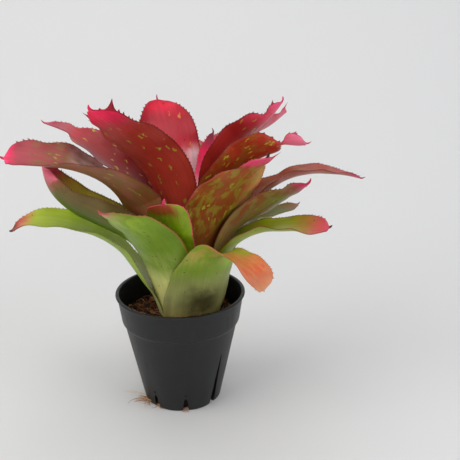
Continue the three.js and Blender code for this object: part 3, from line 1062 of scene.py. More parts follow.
LEAVES = (
    LeafShape(
        "leaf_01_orange_droop", 0, azimuth=295, clasp=72, sheath=75, blade=65, width=34,
        rise=(58, 12, -12, -66), roll=(0, -12, -20, -13, 2), channel=38, tip=12,
        swing=34, mucro=1, taper=0.5, shoulder=0.8,
    ),
    LeafShape(
        "leaf_02_low_left", 0, azimuth=180, clasp=38, sheath=45, blade=111, width=33,
        rise=(52, 56, 31, 18, 4, -38), roll=(0, 10, 0, -15, -12), channel=48, tip=4,
        swing=6, mucro=3, taper=0.1, shoulder=0.85,
    ),
    LeafShape(
        "leaf_03_low_back_right", 1, azimuth=27, clasp=55, sheath=53, blade=75, width=33,
        rise=(73, 28, 16, 12), roll=(0, -8, -24, -6, 0), channel=33, tip=4,
        mucro=3,
    ),
    LeafShape(
        "leaf_04_front_left", 1, azimuth=238, clasp=52, sheath=58, blade=72, width=52,
        rise=(68, 56, 42, 34), roll=(0, 8, 12, 20, 14), channel=48, tip=4,
        swing=-30, neck=0.2, mucro=3,
    ),
    LeafShape(
        "leaf_05_low_back", 2, azimuth=122, clasp=36, sheath=52, blade=95, width=36,
        rise=(72, 44, 18, -8), roll=(0, 6, 10), channel=40, tip=5,
    ),
    LeafShape(
        "leaf_06_low_right", 2, azimuth=343, clasp=54, sheath=57, blade=85, width=38,
        rise=(75, 39, 13, 6, 11), roll=(0, 0, -8, 0, 24), channel=44, tip=6,
        mucro=3,
    ),
    LeafShape(
        "leaf_07_left_boat", 3, azimuth=187, clasp=28, sheath=60, blade=100, width=63,
        rise=(58, 30, 29, 54, 96), roll=(0, 13, 12, 6, 8), channel=96, tip=6,
        mucro=3, jag=1.4,
    ),
    LeafShape(
        "leaf_08_back_right", 3, azimuth=72, clasp=58, sheath=56, blade=88, width=38,
        rise=(72, 48, 26, 10), roll=(0, -8, -12), channel=40, tip=5,
    ),
    LeafShape(
        "leaf_09_front_short", 4, azimuth=255, clasp=24, sheath=62, blade=48, width=32,
        rise=(76, 66, 62, 72), roll=(0, -8, -12, 0, 16), channel=24, tip=14,
        shoulder=0.6,
    ),
    LeafShape(
        "leaf_10_back_left", 4, azimuth=103, clasp=34, sheath=60, blade=88, width=34,
        rise=(74, 52, 28, 10), roll=(0, 10, 14), channel=40, tip=5,
    ),
    LeafShape(
        "leaf_11_right_brown", 5, azimuth=351, clasp=50, sheath=62, blade=75, width=38,
        rise=(67, 38, 34, 31), roll=(0, -18, -34, -36, -34), channel=42, tip=3,
        neck=0.3, mucro=5.5,
    ),
    LeafShape(
        "leaf_12_back", 5, azimuth=93, clasp=38, sheath=66, blade=85, width=38,
        rise=(76, 54, 34, 14), roll=(0, -6, 6), channel=40, tip=5,
    ),
    LeafShape(
        "leaf_13_long_right", 6, azimuth=7, clasp=51, sheath=68, blade=115, width=38,
        rise=(66, 38, 25, -4, -16), roll=(0, 4, -14, -2, -8), channel=42, tip=5,
        neck=0.2, jag=1.4,
    ),
    LeafShape(
        "leaf_14_long_left", 6, azimuth=192, clasp=60, sheath=63, blade=123, width=63,
        rise=(67, 58, 33, 14, 4), roll=(0, 28, 10, -6, -22), channel=50, tip=6,
        neck=0.2, jag=1.6, shoulder=0.8,
    ),
    LeafShape(
        "leaf_15_front_mottled", 7, azimuth=316, clasp=58, sheath=75, blade=77, width=54,
        rise=(70, 56, 44, 34), roll=(0, -14, -10, -5, -2), channel=24, tip=3,
        neck=0.3, mucro=5, jag=1.6,
    ),
    LeafShape(
        "leaf_16_left_red", 7, azimuth=168, clasp=55, sheath=79, blade=105, width=40,
        rise=(75, 40, 34, 10), roll=(0, -2, -8, -8, 6), channel=38, tip=4,
        neck=0.5, jag=1.4,
    ),
    LeafShape(
        "leaf_17_big_left", 8, azimuth=240, clasp=44, sheath=91, blade=100, width=44,
        rise=(85, 46, 36, 40), roll=(0, 10, 18, 18, 16), channel=40, tip=5,
        swing=-16, neck=0.1, jag=2.4, shoulder=0.35,
    ),
    LeafShape(
        "leaf_18_back_right_tip", 8, azimuth=48, clasp=46, sheath=88, blade=104, width=46,
        rise=(74, 34, 8, 26), roll=(0, 4, -14, -22, -32), channel=60, tip=8,
        neck=0.1, mucro=3, jag=2.6,
    ),
    LeafShape(
        "leaf_19_right_red_green", 9, azimuth=340, clasp=46, sheath=90, blade=84, width=40,
        rise=(82, 38, 38, 22, -4), roll=(0, -8, -30, -35, -36), channel=50, tip=4,
        neck=0.88, jag=2,
    ),
    LeafShape(
        "leaf_20_top_back", 9, azimuth=123, clasp=55, sheath=93, blade=65, width=46,
        rise=(84, 76, 68, 50), roll=(0, 0, 0, -8, 8), channel=32, tip=6,
    ),
    LeafShape(
        "leaf_21_top_right", 10, azimuth=12, clasp=40, sheath=92, blade=83, width=48,
        rise=(85, 53, 37, 37, 58), roll=(0, -22, -34, -30, -22), channel=52, tip=4,
        neck=0.4, jag=1.8,
    ),
    LeafShape(
        "leaf_22_heart_left", 10, azimuth=186, clasp=44, sheath=74, blade=40, width=24,
        rise=(86, 80, 76, 72), roll=(0, 6, 0), channel=50, tip=3,
    ),
    LeafShape(
        "leaf_23_heart_back", 11, azimuth=24, clasp=42, sheath=84, blade=48, width=26,
        rise=(86, 82, 78, 76), roll=(0, -6, 0), channel=44, tip=4,
    ),
    LeafShape(
        "leaf_24_heart_front", 11, azimuth=280, clasp=42, sheath=66, blade=36, width=22,
        rise=(86, 82, 78, 74), roll=(0, 0, 6), channel=50, tip=3,
    ),
)

# What some leaves' surfaces have of their own.
OWN_SURFACES: dict[str, dict[str, object]] = {
    "leaf_01_orange_droop": {"bulge": 1.8, "bulge_length": 9.0, "mucro_radius": 0.5},
    "leaf_02_low_left": {"mucro_radius": 1.5},
    "leaf_06_low_right": {"mucro_radius": 1.1},
    "leaf_09_front_short": {"mucro_radius": 1.5},
    "leaf_11_right_brown": {"mucro_radius": 1.3},
    "leaf_14_long_left": {"mucro_radius": 1.2},
    "leaf_15_front_mottled": {
        "mucro_radius": 1.2, "prongs": (Prong(0.93, 1, 5.5, 4.5), Prong(0.955, -1, 2.0, 2.0)),
    },
    "leaf_17_big_left": {
        "mucro_radius": 1.5,
        "prongs": (Prong(0.945, 1, 7.0, 4.0), Prong(0.985, 1, 1.6, 1.2), Prong(0.92, -1, 3.6, 3.0)),
    },
    "leaf_18_back_right_tip": {
        "mucro_radius": 1.3, "prongs": (Prong(0.93, 1, 3.4, 3.0), Prong(0.93, -1, 4.5, 3.4)),
    },
    "leaf_19_right_red_green": {"prongs": (Prong(0.95, 1, 2.2, 2.0), Prong(0.93, -1, 1.8, 2.0))},
    "leaf_21_top_right": {
        "mucro_radius": 1.1, "prongs": (Prong(0.9, 1, 2.4, 2.6), Prong(0.93, -1, 2.6, 2.6)),
    },
}

# How each leaf looks, by the end of its name.
FINISHES = {
    finish.name: finish
    for finish in (
        LeafFinish(
            "orange_droop",
            under=(
                (-1, "#d4c078"), (-0.7, "#c8bc70"), (-0.5, "#a4a468"), (-0.3, "#949a58"),
                (-0.1, "#7c962c"), (0.28, "#88a42c"), (0.46, "#b88c3c"), (1, "#c87850"),
            ),
            over=(
                (-1, "#8fa03c"), (0, "#a0b42c"), (0.16, "#c0a43c"), (0.35, "#cca040"),
                (0.6, "#dc8840"), (0.78, "#dc6436"), (0.88, "#d07450"), (1, "#e0986c"),
            ),
            margin=("#b06a4c", 0.25), side=("#98bc20", 1, 0.95, -0.2, 0.58),
            stain=("#30240c", 0.85), mottle=("#e09a68", 0.35), mucro="#b8643c",
        ),
        LeafFinish(
            "low_left",
            under=(
                (-1, "#d2cf90"), (-0.3, "#c4cc80"), (0.1, "#93ae38"), (0.8, "#84a02c"),
                (0.93, "#a8604a"), (1, "#8a3c30"),
            ),
            # The palest over colours at the foot and the start of the blade are painted light on a face
            # that lies in shade.
            over=(
                (-1, "#f4f4c8"), (0, "#f4f4c0"), (0.18, "#dce894"), (0.45, "#b8d438"),
                (0.84, "#aac034"), (0.9, "#c89c4c"), (0.95, "#c85c54"), (1, "#7a3a28"),
            ),
            margin=("#a85c44", 0.25), mucro="#5a2414",
        ),
        LeafFinish(
            "low_back_right",
            under=(
                (-1, "#9a9c50"), (0, "#7f8a34"), (0.7, "#84902e"), (0.95, "#8f7040"),
                (1, "#a85a50"),
            ),
            over=((-1, "#8c9040"), (0, "#6c7a0c"), (0.8, "#707a10"), (1, "#a06038")),
            margin=("#8a5a42", 0.5),
        ),
        LeafFinish(
            "front_left",
            under=(
                (-1, "#f0eca0"), (-0.3, "#e4e08c"), (-0.1, "#ccd07c"), (0.1, "#90a048"),
                (0.35, "#749018"), (0.55, "#7a981c"), (0.8, "#98b22e"), (0.94, "#a8a840"),
                (1, "#e05470"),
            ),
            over=(
                (-1, "#a0a45c"), (0, "#88a02a"), (0.8, "#98aa38"), (0.93, "#b8784a"),
                (1, "#dc5468"),
            ),
            margin=("#a8603c", 0.7), flush=("#4c7014", 0.45), mottle=("#648c14", 0.45),
            speckle=("#3c200c", 0.05), mucro="#d83c60",
        ),
        LeafFinish(
            "low_back",
            under=(
                (-1, "#b4b470"), (0, "#85962a"), (0.8, "#8a9a2e"), (0.93, "#b06a4c"),
                (1, "#c85058"),
            ),
            over=(
                (-1, "#a8ac64"), (0, "#86a028"), (0.75, "#94a634"), (0.9, "#b87246"),
                (1, "#cc5060"),
            ),
            margin=("#a05a48", 0.5),
        ),
        LeafFinish(
            "low_right",
            under=(
                (-1, "#a4aa40"), (0, "#7c9008"), (0.5, "#90a818"), (0.8, "#94a024"),
                (0.89, "#c06c40"), (1, "#d8405a"),
            ),
            over=(
                (-1, "#9aa04c"), (0, "#94a818"), (0.66, "#a8b81c"), (0.82, "#b88838"),
                (0.89, "#cc6450"), (1, "#d44c60"),
            ),
            margin=("#8c2424", 0.8), mottle=("#b8903c", 0.25), mucro="#301014",
        ),
        LeafFinish(
            "left_boat",
            under=(
                (-1, "#959c4e"), (0, "#6c8418"), (0.5, "#446004"), (0.78, "#4c6408"),
                (0.86, "#a85c44"), (0.91, "#f47c90"), (1, "#f0607c"),
            ),
            # The pale yellow over colours are lightened into painted light on the far wall of the boat,
            # which lies in shade.
            over=(
                (-1, "#a8ac4c"), (0, "#c8cc44"), (0.6, "#d8d44c"), (0.8, "#d0ac50"),
                (0.9, "#f06078"), (1, "#ea5c7c"),
            ),
            margin=("#6c3c28", 0.6), side=("#80583c", 1, 0.62, 0.0, 0.92), mucro="#501c20",
        ),
        LeafFinish(
            "back_right",
            under=(
                (-1, "#a6a860"), (0, "#848a34"), (0.6, "#8a7e34"), (0.9, "#a85e40"), (1, "#d05060"),
            ),
            over=(
                (-1, "#a0a45a"), (0, "#7c8c2c"), (0.6, "#8c8a34"), (0.9, "#b06042"), (1, "#d85060"),
            ),
            margin=("#8c443c", 0.6), mottle=("#7a6228", 0.4),
        ),
        LeafFinish(
            "front_short",
            under=(
                (-1, "#8c982c"), (0, "#94b01c"), (0.6, "#8cac14"), (0.76, "#84941c"),
                (0.84, "#8c4c1c"), (0.95, "#b04c30"), (1, "#d0405c"),
            ),
            over=((-1, "#6c7a28"), (0, "#667c1e"), (0.7, "#80602c"), (1, "#b04a4c")),
            margin=("#d04a5c", 0.9), mottle=("#6c8c0c", 0.4), mucro="#d03c60",
            side=("#8ca420", 1, 1.0, 0.5, 2.0),
        ),
        LeafFinish(
            "back_left",
            under=(
                (-1, "#a0a058"), (0, "#868034"), (0.5, "#8c5c34"), (0.85, "#a84c3c"),
                (1, "#dc4464"),
            ),
            over=(
                (-1, "#98984c"), (0, "#847032"), (0.5, "#945034"), (0.85, "#b04440"),
                (1, "#e44468"),
            ),
            margin=("#80282c", 0.6), mottle=("#76803a", 0.5), fleck=("#a8ac34", 0.3),
        ),
        LeafFinish(
            "right_brown",
            under=(
                (-1, "#8c8c3c"), (0, "#a8804c"), (0.4, "#a87c50"), (0.72, "#7c7c38"),
                (0.88, "#94584c"), (0.95, "#d03c60"), (1, "#d02c5c"),
            ),
            over=(
                (-1, "#80803c"), (0, "#766a2c"), (0.5, "#7c5a2c"), (0.85, "#b0505a"),
                (1, "#e0527c"),
            ),
            margin=("#702c20", 0.7), mottle=("#8c8c4c", 0.6), fleck=("#a4ac34", 0.15),
            mucro="#b8103c", side=("#90301c", -1, 0.7, 0.2, 0.85),
        ),
        LeafFinish(
            "back",
            under=(
                (-1, "#9a9a50"), (0, "#7e6a30"), (0.5, "#8a4a2c"), (0.85, "#a83c3c"),
                (1, "#e44066"),
            ),
            over=(
                (-1, "#8c8840"), (0, "#7c5c2c"), (0.5, "#903c26"), (0.85, "#b83840"),
                (1, "#e84066"),
            ),
            margin=("#80242c", 0.6), mottle=("#76782c", 0.4), fleck=("#b0ac34", 0.4),
        ),
        LeafFinish(
            "long_right",
            under=(
                (-1, "#a08c4c"), (0, "#bc7c50"), (0.5, "#b05c44"), (0.85, "#b4483c"),
                (0.95, "#d43c64"), (1, "#d83060"),
            ),
            over=(
                (-1, "#8c7c40"), (0, "#a05c40"), (0.6, "#a0503c"), (0.9, "#b04448"), (1, "#d83c68"),
            ),
            margin=("#7c3028", 0.6), mottle=("#a08c4c", 0.3), mucro="#9c1434",
        ),
        LeafFinish(
            "long_left",
            under=(
                (-1, "#a89c44"), (0, "#a05c38"), (0.3, "#b0684c"), (0.5, "#a46c54"),
                (0.7, "#a05848"), (0.88, "#b8485c"), (0.96, "#f03468"), (1, "#f84478"),
            ),
            # The pale mauve over colours in the middle of the blade, about 0.3 to 0.58 along, are a
            # painted sheen.
            over=(
                (-1, "#8c7a3a"), (0, "#b0704c"), (0.3, "#c88c70"), (0.58, "#dcb0a8"),
                (0.7, "#9c5048"), (0.8, "#ac4c48"), (0.92, "#b44450"), (0.98, "#f02c60"),
                (1, "#ff4478"),
            ),
            margin=("#84302c", 0.7), mottle=("#7c7030", 0.45), fleck=("#b0a83c", 0.15),
            mucro="#c82050", side=("#80541c", 1, 0.7, -0.1, 0.42),
        ),
        LeafFinish(
            "front_mottled",
            under=(
                (-1, "#948038"), (0, "#944e24"), (0.3, "#924818"), (0.75, "#a8582a"),
                (0.86, "#b8443c"), (0.91, "#f03c6c"), (1, "#f84880"),
            ),
            over=(
                (-1, "#7a6a34"), (0, "#7a4824"), (0.5, "#8e4a28"), (0.85, "#c05058"),
                (1, "#ec5c84"),
            ),
            margin=("#c0504c", 0.6), mottle=("#94942a", 0.6), fleck=("#b4b03c", 0.25),
            # The pale orange side tint lightens the right half, which faces away from the lamps: it is
            # painted light.
            mucro="#34100c", side=("#f0a868", 1, 0.8, 0.0, 0.88),
        ),
        LeafFinish(
            "left_red",
            under=(
                (-1, "#80783c"), (0, "#862f2c"), (0.5, "#9c3c3e"), (0.8, "#c04c5c"),
                (0.92, "#e0406e"), (1, "#e84a7c"),
            ),
            over=(
                (-1, "#80683a"), (0, "#74201c"), (0.38, "#801a1a"), (0.52, "#8c2624"),
                (0.68, "#a03436"), (0.78, "#c03844"), (0.87, "#b4525a"), (0.95, "#b02a4c"),
                (1, "#d03060"),
            ),
            # The grey-purple side tint is a painted sheen.
            margin=("#90242c", 0.6), fleck=("#b8a43c", 0.25), side=("#8c686c", 1, 0.8, 0.25, 0.75),
            mucro="#a82448",
        ),
        LeafFinish(
            "big_left",
            under=(
                (-1, "#8c6430"), (-0.2, "#a44428"), (0.12, "#b83c2c"), (0.5, "#98281c"),
                (0.72, "#a02c20"), (0.82, "#b82c34"), (0.89, "#d40c40"), (0.94, "#f4104c"),
                (1, "#ff1454"),
            ),
            over=(
                (-1, "#7a5230"), (0, "#8c2a22"), (0.6, "#a83030"), (0.88, "#d02444"),
                (1, "#f02458"),
            ),
            margin=("#701010", 0.7), fleck=("#a09430", 0.22), mucro="#e02458",
        ),
        LeafFinish(
            "back_right_tip",
            under=(
                (-1, "#7c5a30"), (0, "#842c22"), (0.5, "#b03038"), (0.75, "#e0405c"),
                (1, "#f04a74"),
            ),
            # The near-white over colours at the base are partly the young leaf's pale base and partly a
            # painted highlight.
            over=(
                (-1, "#ffe0d8"), (0, "#ffb8c4"), (0.28, "#ff7890"), (0.42, "#c83444"),
                (0.55, "#b4343c"), (0.72, "#e0445c"), (1, "#f04c74"),
            ),
            margin=("#c02848", 0.6), fleck=("#a89a3e", 0.2), mucro="#b41c4c",
        ),
        LeafFinish(
            "right_red_green",
            under=(
                (-1, "#8c6c30"), (0, "#b04a24"), (0.4, "#a83c1e"), (0.74, "#b4321e"),
                (0.79, "#d04048"), (0.84, "#ff7090"), (1, "#ff84a4"),
            ),
            over=(
                (-1, "#7c6030"), (0, "#923824"), (0.5, "#a83a2c"), (0.74, "#bc4448"),
                (0.82, "#ee5070"), (1, "#f66084"),
            ),
            margin=("#88281c", 0.6), mottle=("#8c7428", 0.35), fleck=("#c0bc34", 0.5),
            mucro="#c82c54",
        ),
        LeafFinish(
            "top_back",
            under=((-1, "#8a6440"), (0, "#a02c30"), (0.5, "#b4303c"), (1, "#cc3a54")),
            # The near-white over colours at the base are partly the young leaf's pale base and partly a
            # painted highlight.
            over=(
                (-1, "#ffe8e0"), (0, "#ffd0d0"), (0.28, "#ff98a8"), (0.42, "#d43c4c"),
                (0.6, "#c83c48"), (0.78, "#c0303c"), (0.92, "#f02c48"), (1, "#d02840"),
            ),
            margin=("#801420", 0.7), fleck=("#e08c44", 0.1), flush=("#90141c", 0.3),
            # The near-white side tint on one half is a painted highlight.
            side=("#fff0f0", -1, 0.75, -0.3, 0.48), mucro="#b41838",
        ),
        LeafFinish(
            "top_right",
            under=(
                (-1, "#744a26"), (0, "#a0301c"), (0.35, "#b02c28"), (0.6, "#a82424"),
                (0.7, "#c82c40"), (0.8, "#e84464"), (0.93, "#ff5c84"), (1, "#fc5488"),
            ),
            over=(
                (-1, "#704828"), (0, "#862820"), (0.5, "#a43034"), (0.75, "#cc3450"),
                (1, "#f45488"),
            ),
            margin=("#6c1418", 0.7), fleck=("#b0a838", 0.25), mucro="#e02c60",
        ),
        LeafFinish(
            "heart_left",
            under=((-1, "#e8d0a8"), (0, "#f2a8ac"), (0.7, "#e07888"), (1, "#8a4858")),
            over=((-1, "#f0dcb8"), (0, "#f8b0bc"), (0.7, "#f08a9c"), (1, "#94505f")),
            margin=("#e04070", 0.5), mucro="#7a4450",
        ),
        LeafFinish(
            "heart_back",
            under=((-1, "#ecd8b4"), (0, "#f6a6b4"), (0.6, "#f03c68"), (1, "#c8405c")),
            # The near-white over colours at the base are partly the young leaf's pale base and partly a
            # painted highlight.
            over=(
                (-1, "#fff0e0"), (0, "#ffdce0"), (0.2, "#ffc8d2"), (0.36, "#fa5c84"),
                (0.7, "#f02c60"), (0.86, "#a83c54"), (1, "#7c4450"),
            ),
            margin=("#f01c58", 0.5), mucro="#6c404c",
        ),
        LeafFinish(
            "heart_front",
            under=((-1, "#ecd8b4"), (0, "#f4a4b2"), (0.7, "#e87c90"), (1, "#a04c60")),
            over=((-1, "#f4e4c4"), (0, "#f8b4c0"), (0.7, "#ec8498"), (1, "#9c4c60")),
            margin=("#e04070", 0.5), mucro="#7a4450",
        ),
    )
}


# ---------------------------------------------------------------- pot


@dataclass
class NurseryPot:
    """Thin black pot with a rolled rim, a band below it, and slits round its foot."""

    height: float = 85.0
    rim: float = 47.5
    base: float = 29.0
    wall: float = 1.3
    floor: float = 1.6
    band_foot: float = 63.0
    band_foot_radius: float = 43.4
    band_top_radius: float = 46.3
    band_step: float = 1.6
    lip: float = 1.8
    slits: int = 8
    first_slit: float = 278.0
    long_slits: tuple[int, ...] = (1, 3, 6)
    long_slit: tuple[float, float, float] = (44.0, 0.9, 5.4)  # top, width there, width at the foot
    notch: tuple[float, float, float] = (11.0, 2.4, 4.6)
    slit_tip: float = 1.5  # height over which a slit closes to its blunt top
    slit_reach: float = 8.0
    flute_depth: float = 0.7
    flute_top: float = 52.0
    flute_half: float = 5.0
    pip_radius: float = 0.75
    pip_above_notch: float = 2.6
    columns: int = 240
    longest_step: float = 3.0
    sharp_angle: float = 40.0

    @property
    def wall_top_radius(self) -> float:
        """Outer radius of the wall just under the band."""
        return self.band_foot_radius - self.band_step

    def slit_angles(self) -> np.ndarray:
        """Where the slits stand round the foot, in radians."""
        return np.radians(self.first_slit + np.arange(self.slits) * 360 / self.slits)

    def profile(self) -> np.ndarray:
        """Radius and height round the wall's section, from the middle underneath to inside.

        Each row of corners ends with the radius that it is rounded to.

        Returns:
            The section's points.
        """
        inside = self.band_top_radius - self.wall
        wall_top = self.wall_top_radius
        corners = [
            (0.01, 0.0, 0.0), (self.base, 0.0, 1.2), (wall_top, self.band_foot - 0.6, 0.6),
            (self.band_foot_radius, self.band_foot + 0.5, 1.3),
            (self.band_top_radius, self.height - self.lip, 0.4),
            (self.rim, self.height - self.lip + 0.15, 0.7), (self.rim, self.height, 0.85),
            (inside, self.height, 0.8),
            (self.band_foot_radius - self.wall, self.band_foot + 0.9, 0.6),
            (wall_top - self.wall, self.band_foot - 0.3, 0.6),
            (self.base - self.wall, self.floor, 1.0), (0.01, self.floor, 0.0),
        ]
        return rounded(np.array(corners))

    def patch(self) -> Patch:
        """The lathed wall, with a shallow flute above each slit.

        The radius is the profile's less flute_depth * (share of the way down) * a bell across the
        flute, on the outside and the inside alike.

        Returns:
            The closed wall.
        """
        profile = self.spaced(self.profile())
        turn = np.arange(self.columns) * 2 * np.pi / self.columns
        radius, height = profile[:, :1], profile[:, 1:]
        depth = self.flute_depth * smooth(self.flute_top - height, 0, self.flute_top)
        depth = depth * smooth(radius, self.base - 3, self.base - 1)
        near = np.abs((turn[:, None] - self.slit_angles() + np.pi) % (2 * np.pi) - np.pi).min(1)
        radius = radius - depth * np.exp(-((near[None] * self.base / self.flute_half) ** 2))
        return tubes(around_axis(radius, turn, height)[None])

    def spaced(self, profile: np.ndarray) -> np.ndarray:
        """The profile with points added so that none of its steps is too long.

        Args:
            profile: radius and height of each point.

        Returns:
            The points with the added ones.
        """
        pieces = []
        for a, b in zip(profile[:-1], profile[1:]):
            steps = max(1, int(np.ceil(np.linalg.norm(b - a) / self.longest_step)))
            pieces.append(np.linspace(a, b, steps + 1)[:-1])
        return np.concatenate([*pieces, profile[-1:]])

    def wedges(self) -> Patch:
        """The wedges that are cut out for the slits, from above the foot down through it.

        Returns:
            The closed wedges.
        """
        made = []
        for k, angle in enumerate(self.slit_angles()):
            top, narrow, wide = self.long_slit if k in self.long_slits else self.notch
            z = np.array([-1.0, top - self.slit_tip, top])
            half = np.array([wide, mix(wide, narrow, 1 - self.slit_tip / top), narrow * 0.4]) / 2
            inner, outer = self.base - self.slit_reach, self.rim + 5
            ring = np.array([(inner, -1), (outer, -1), (outer, 1), (inner, 1)])
            corners = np.broadcast_arrays(ring[:, 0], half[:, None] * ring[:, 1], z[:, None])
            local = np.stack(corners, -1)
            made.append(tubes(turned_about_z(local, np.full(local.shape[:2], angle))[None]))
        return joined(made)

    def pips(self) -> Patch:
        """Small raised pips that the mould leaves above the notches.

        Returns:
            A closed dome for each pip.
        """
        turn = np.linspace(0, 2 * np.pi, 12, endpoint=False)
        z = self.notch[0] + self.pip_above_notch
        out = mix(self.base, self.wall_top_radius, z / (self.band_foot - 0.6))
        rise = np.linspace(0, np.pi / 2, 5)[:, None]
        r = self.pip_radius * np.cos(rise) + 0.02
        sunk = out - 0.25 + self.pip_radius * np.sin(rise)
        dome = np.stack(np.broadcast_arrays(sunk, r * np.cos(turn), z + r * np.sin(turn)), -1)
        made = []
        for k in set(range(self.slits)) - set(self.long_slits):
            angle = np.full(dome.shape[:2], self.slit_angles()[k])
            made.append(tubes(turned_about_z(dome, angle)[None]))
        return joined(made)

    def build(self) -> bpy.types.Object:
        """Makes the pot: the wall less its wedges, with the pips on it.

        Returns:
            The pot, which stands for its node.
        """
        finish = MouldedPlastic().material()
        pot = new_object("nursery_pot", self.patch(), finish)
        cutter = new_object("slit_wedges", self.wedges(), finish)
        cut = pot.modifiers.new("slits", "BOOLEAN")
        cut.operation, cut.solver, cut.object = "DIFFERENCE", "EXACT", cutter
        bpy.context.view_layer.update()
        graph = bpy.context.evaluated_depsgraph_get()
        mesh = bpy.data.meshes.new_from_object(pot.evaluated_get(graph))
        pot.modifiers.clear()
        pot.data = mesh
        bpy.data.objects.remove(cutter)
        mesh.set_sharp_from_angle(angle=math.radians(self.sharp_angle))
        dress(new_object("pot_mould_pips", self.pips(), finish), "pot")
        return dress(pot, "pot", "pot")


def rounded(corners: np.ndarray, steps: int = 5) -> np.ndarray:
    """A broken line with its corners rounded.

    Each corner is a quadratic curve between the points at its radius before and behind it, with
    the corner itself as the middle handle.

    Args:
        corners: rows of x, y and radius; the first and last stay sharp.
        steps: points on each rounded corner.

    Returns:
        The line's points.
    """
    points, radius = corners[:, :2], corners[1:-1, 2:]
    before = unit(points[:-2] - points[1:-1]) * radius + points[1:-1]
    behind = unit(points[2:] - points[1:-1]) * radius + points[1:-1]
    t = np.linspace(0, 1, steps)[:, None, None]
    curve = before * (1 - t) ** 2 + points[1:-1] * 2 * t * (1 - t) + behind * t**2
    middle = np.moveaxis(curve, 0, 1).reshape(-1, 2)
    return np.concatenate([points[:1], middle, points[-1:]])


@dataclass(frozen=True)
class MouldedPlastic:
    """Black polypropylene, injection moulded: satin, with a faint grain and dusty scuffs."""

    name: str = "moulded_black_polypropylene"
    black: str = "#111213"
    scuffed: str = "#2e2e2c"
    roughness: float = 0.42
    streak_mm: float = 5.0
    grain_mm: float = 0.5
    grain_depth_mm: float = 0.03
    dusty_foot: float = 14.0

    def material(self) -> bpy.types.Material:
        """The plastic's colour, scuffs, and moulded grain.

        Returns:
            The material.
        """
        p = Painter(self.name)
        place = p.object_mm()
        dust = p.ramp(p.noise(p.stretched(place, 1.0, 1.0, 0.16), self.streak_mm, 4.0), 0.5, 0.8)
        height = p.add("SeparateXYZ", {0: place}).outputs[2]
        foot = p.math("SUBTRACT", 1.0, p.ramp(height, 0.0, self.dusty_foot))
        amount = p.math("ADD", p.product(dust, 0.35), p.product(foot, 0.12))
        colour = p.blend(amount, linear(self.black), linear(self.scuffed))
        grain = p.noise(place, self.grain_mm, 2.0)
        rough = p.math("ADD", self.roughness, p.product(dust, 0.18))
        return p.finish(colour, rough, grain, self.grain_depth_mm, {"Specular IOR Level": 0.42})


# ---------------------------------------------------------------- coir

STRAND_POINTS = 12  # places along each strand of fibre


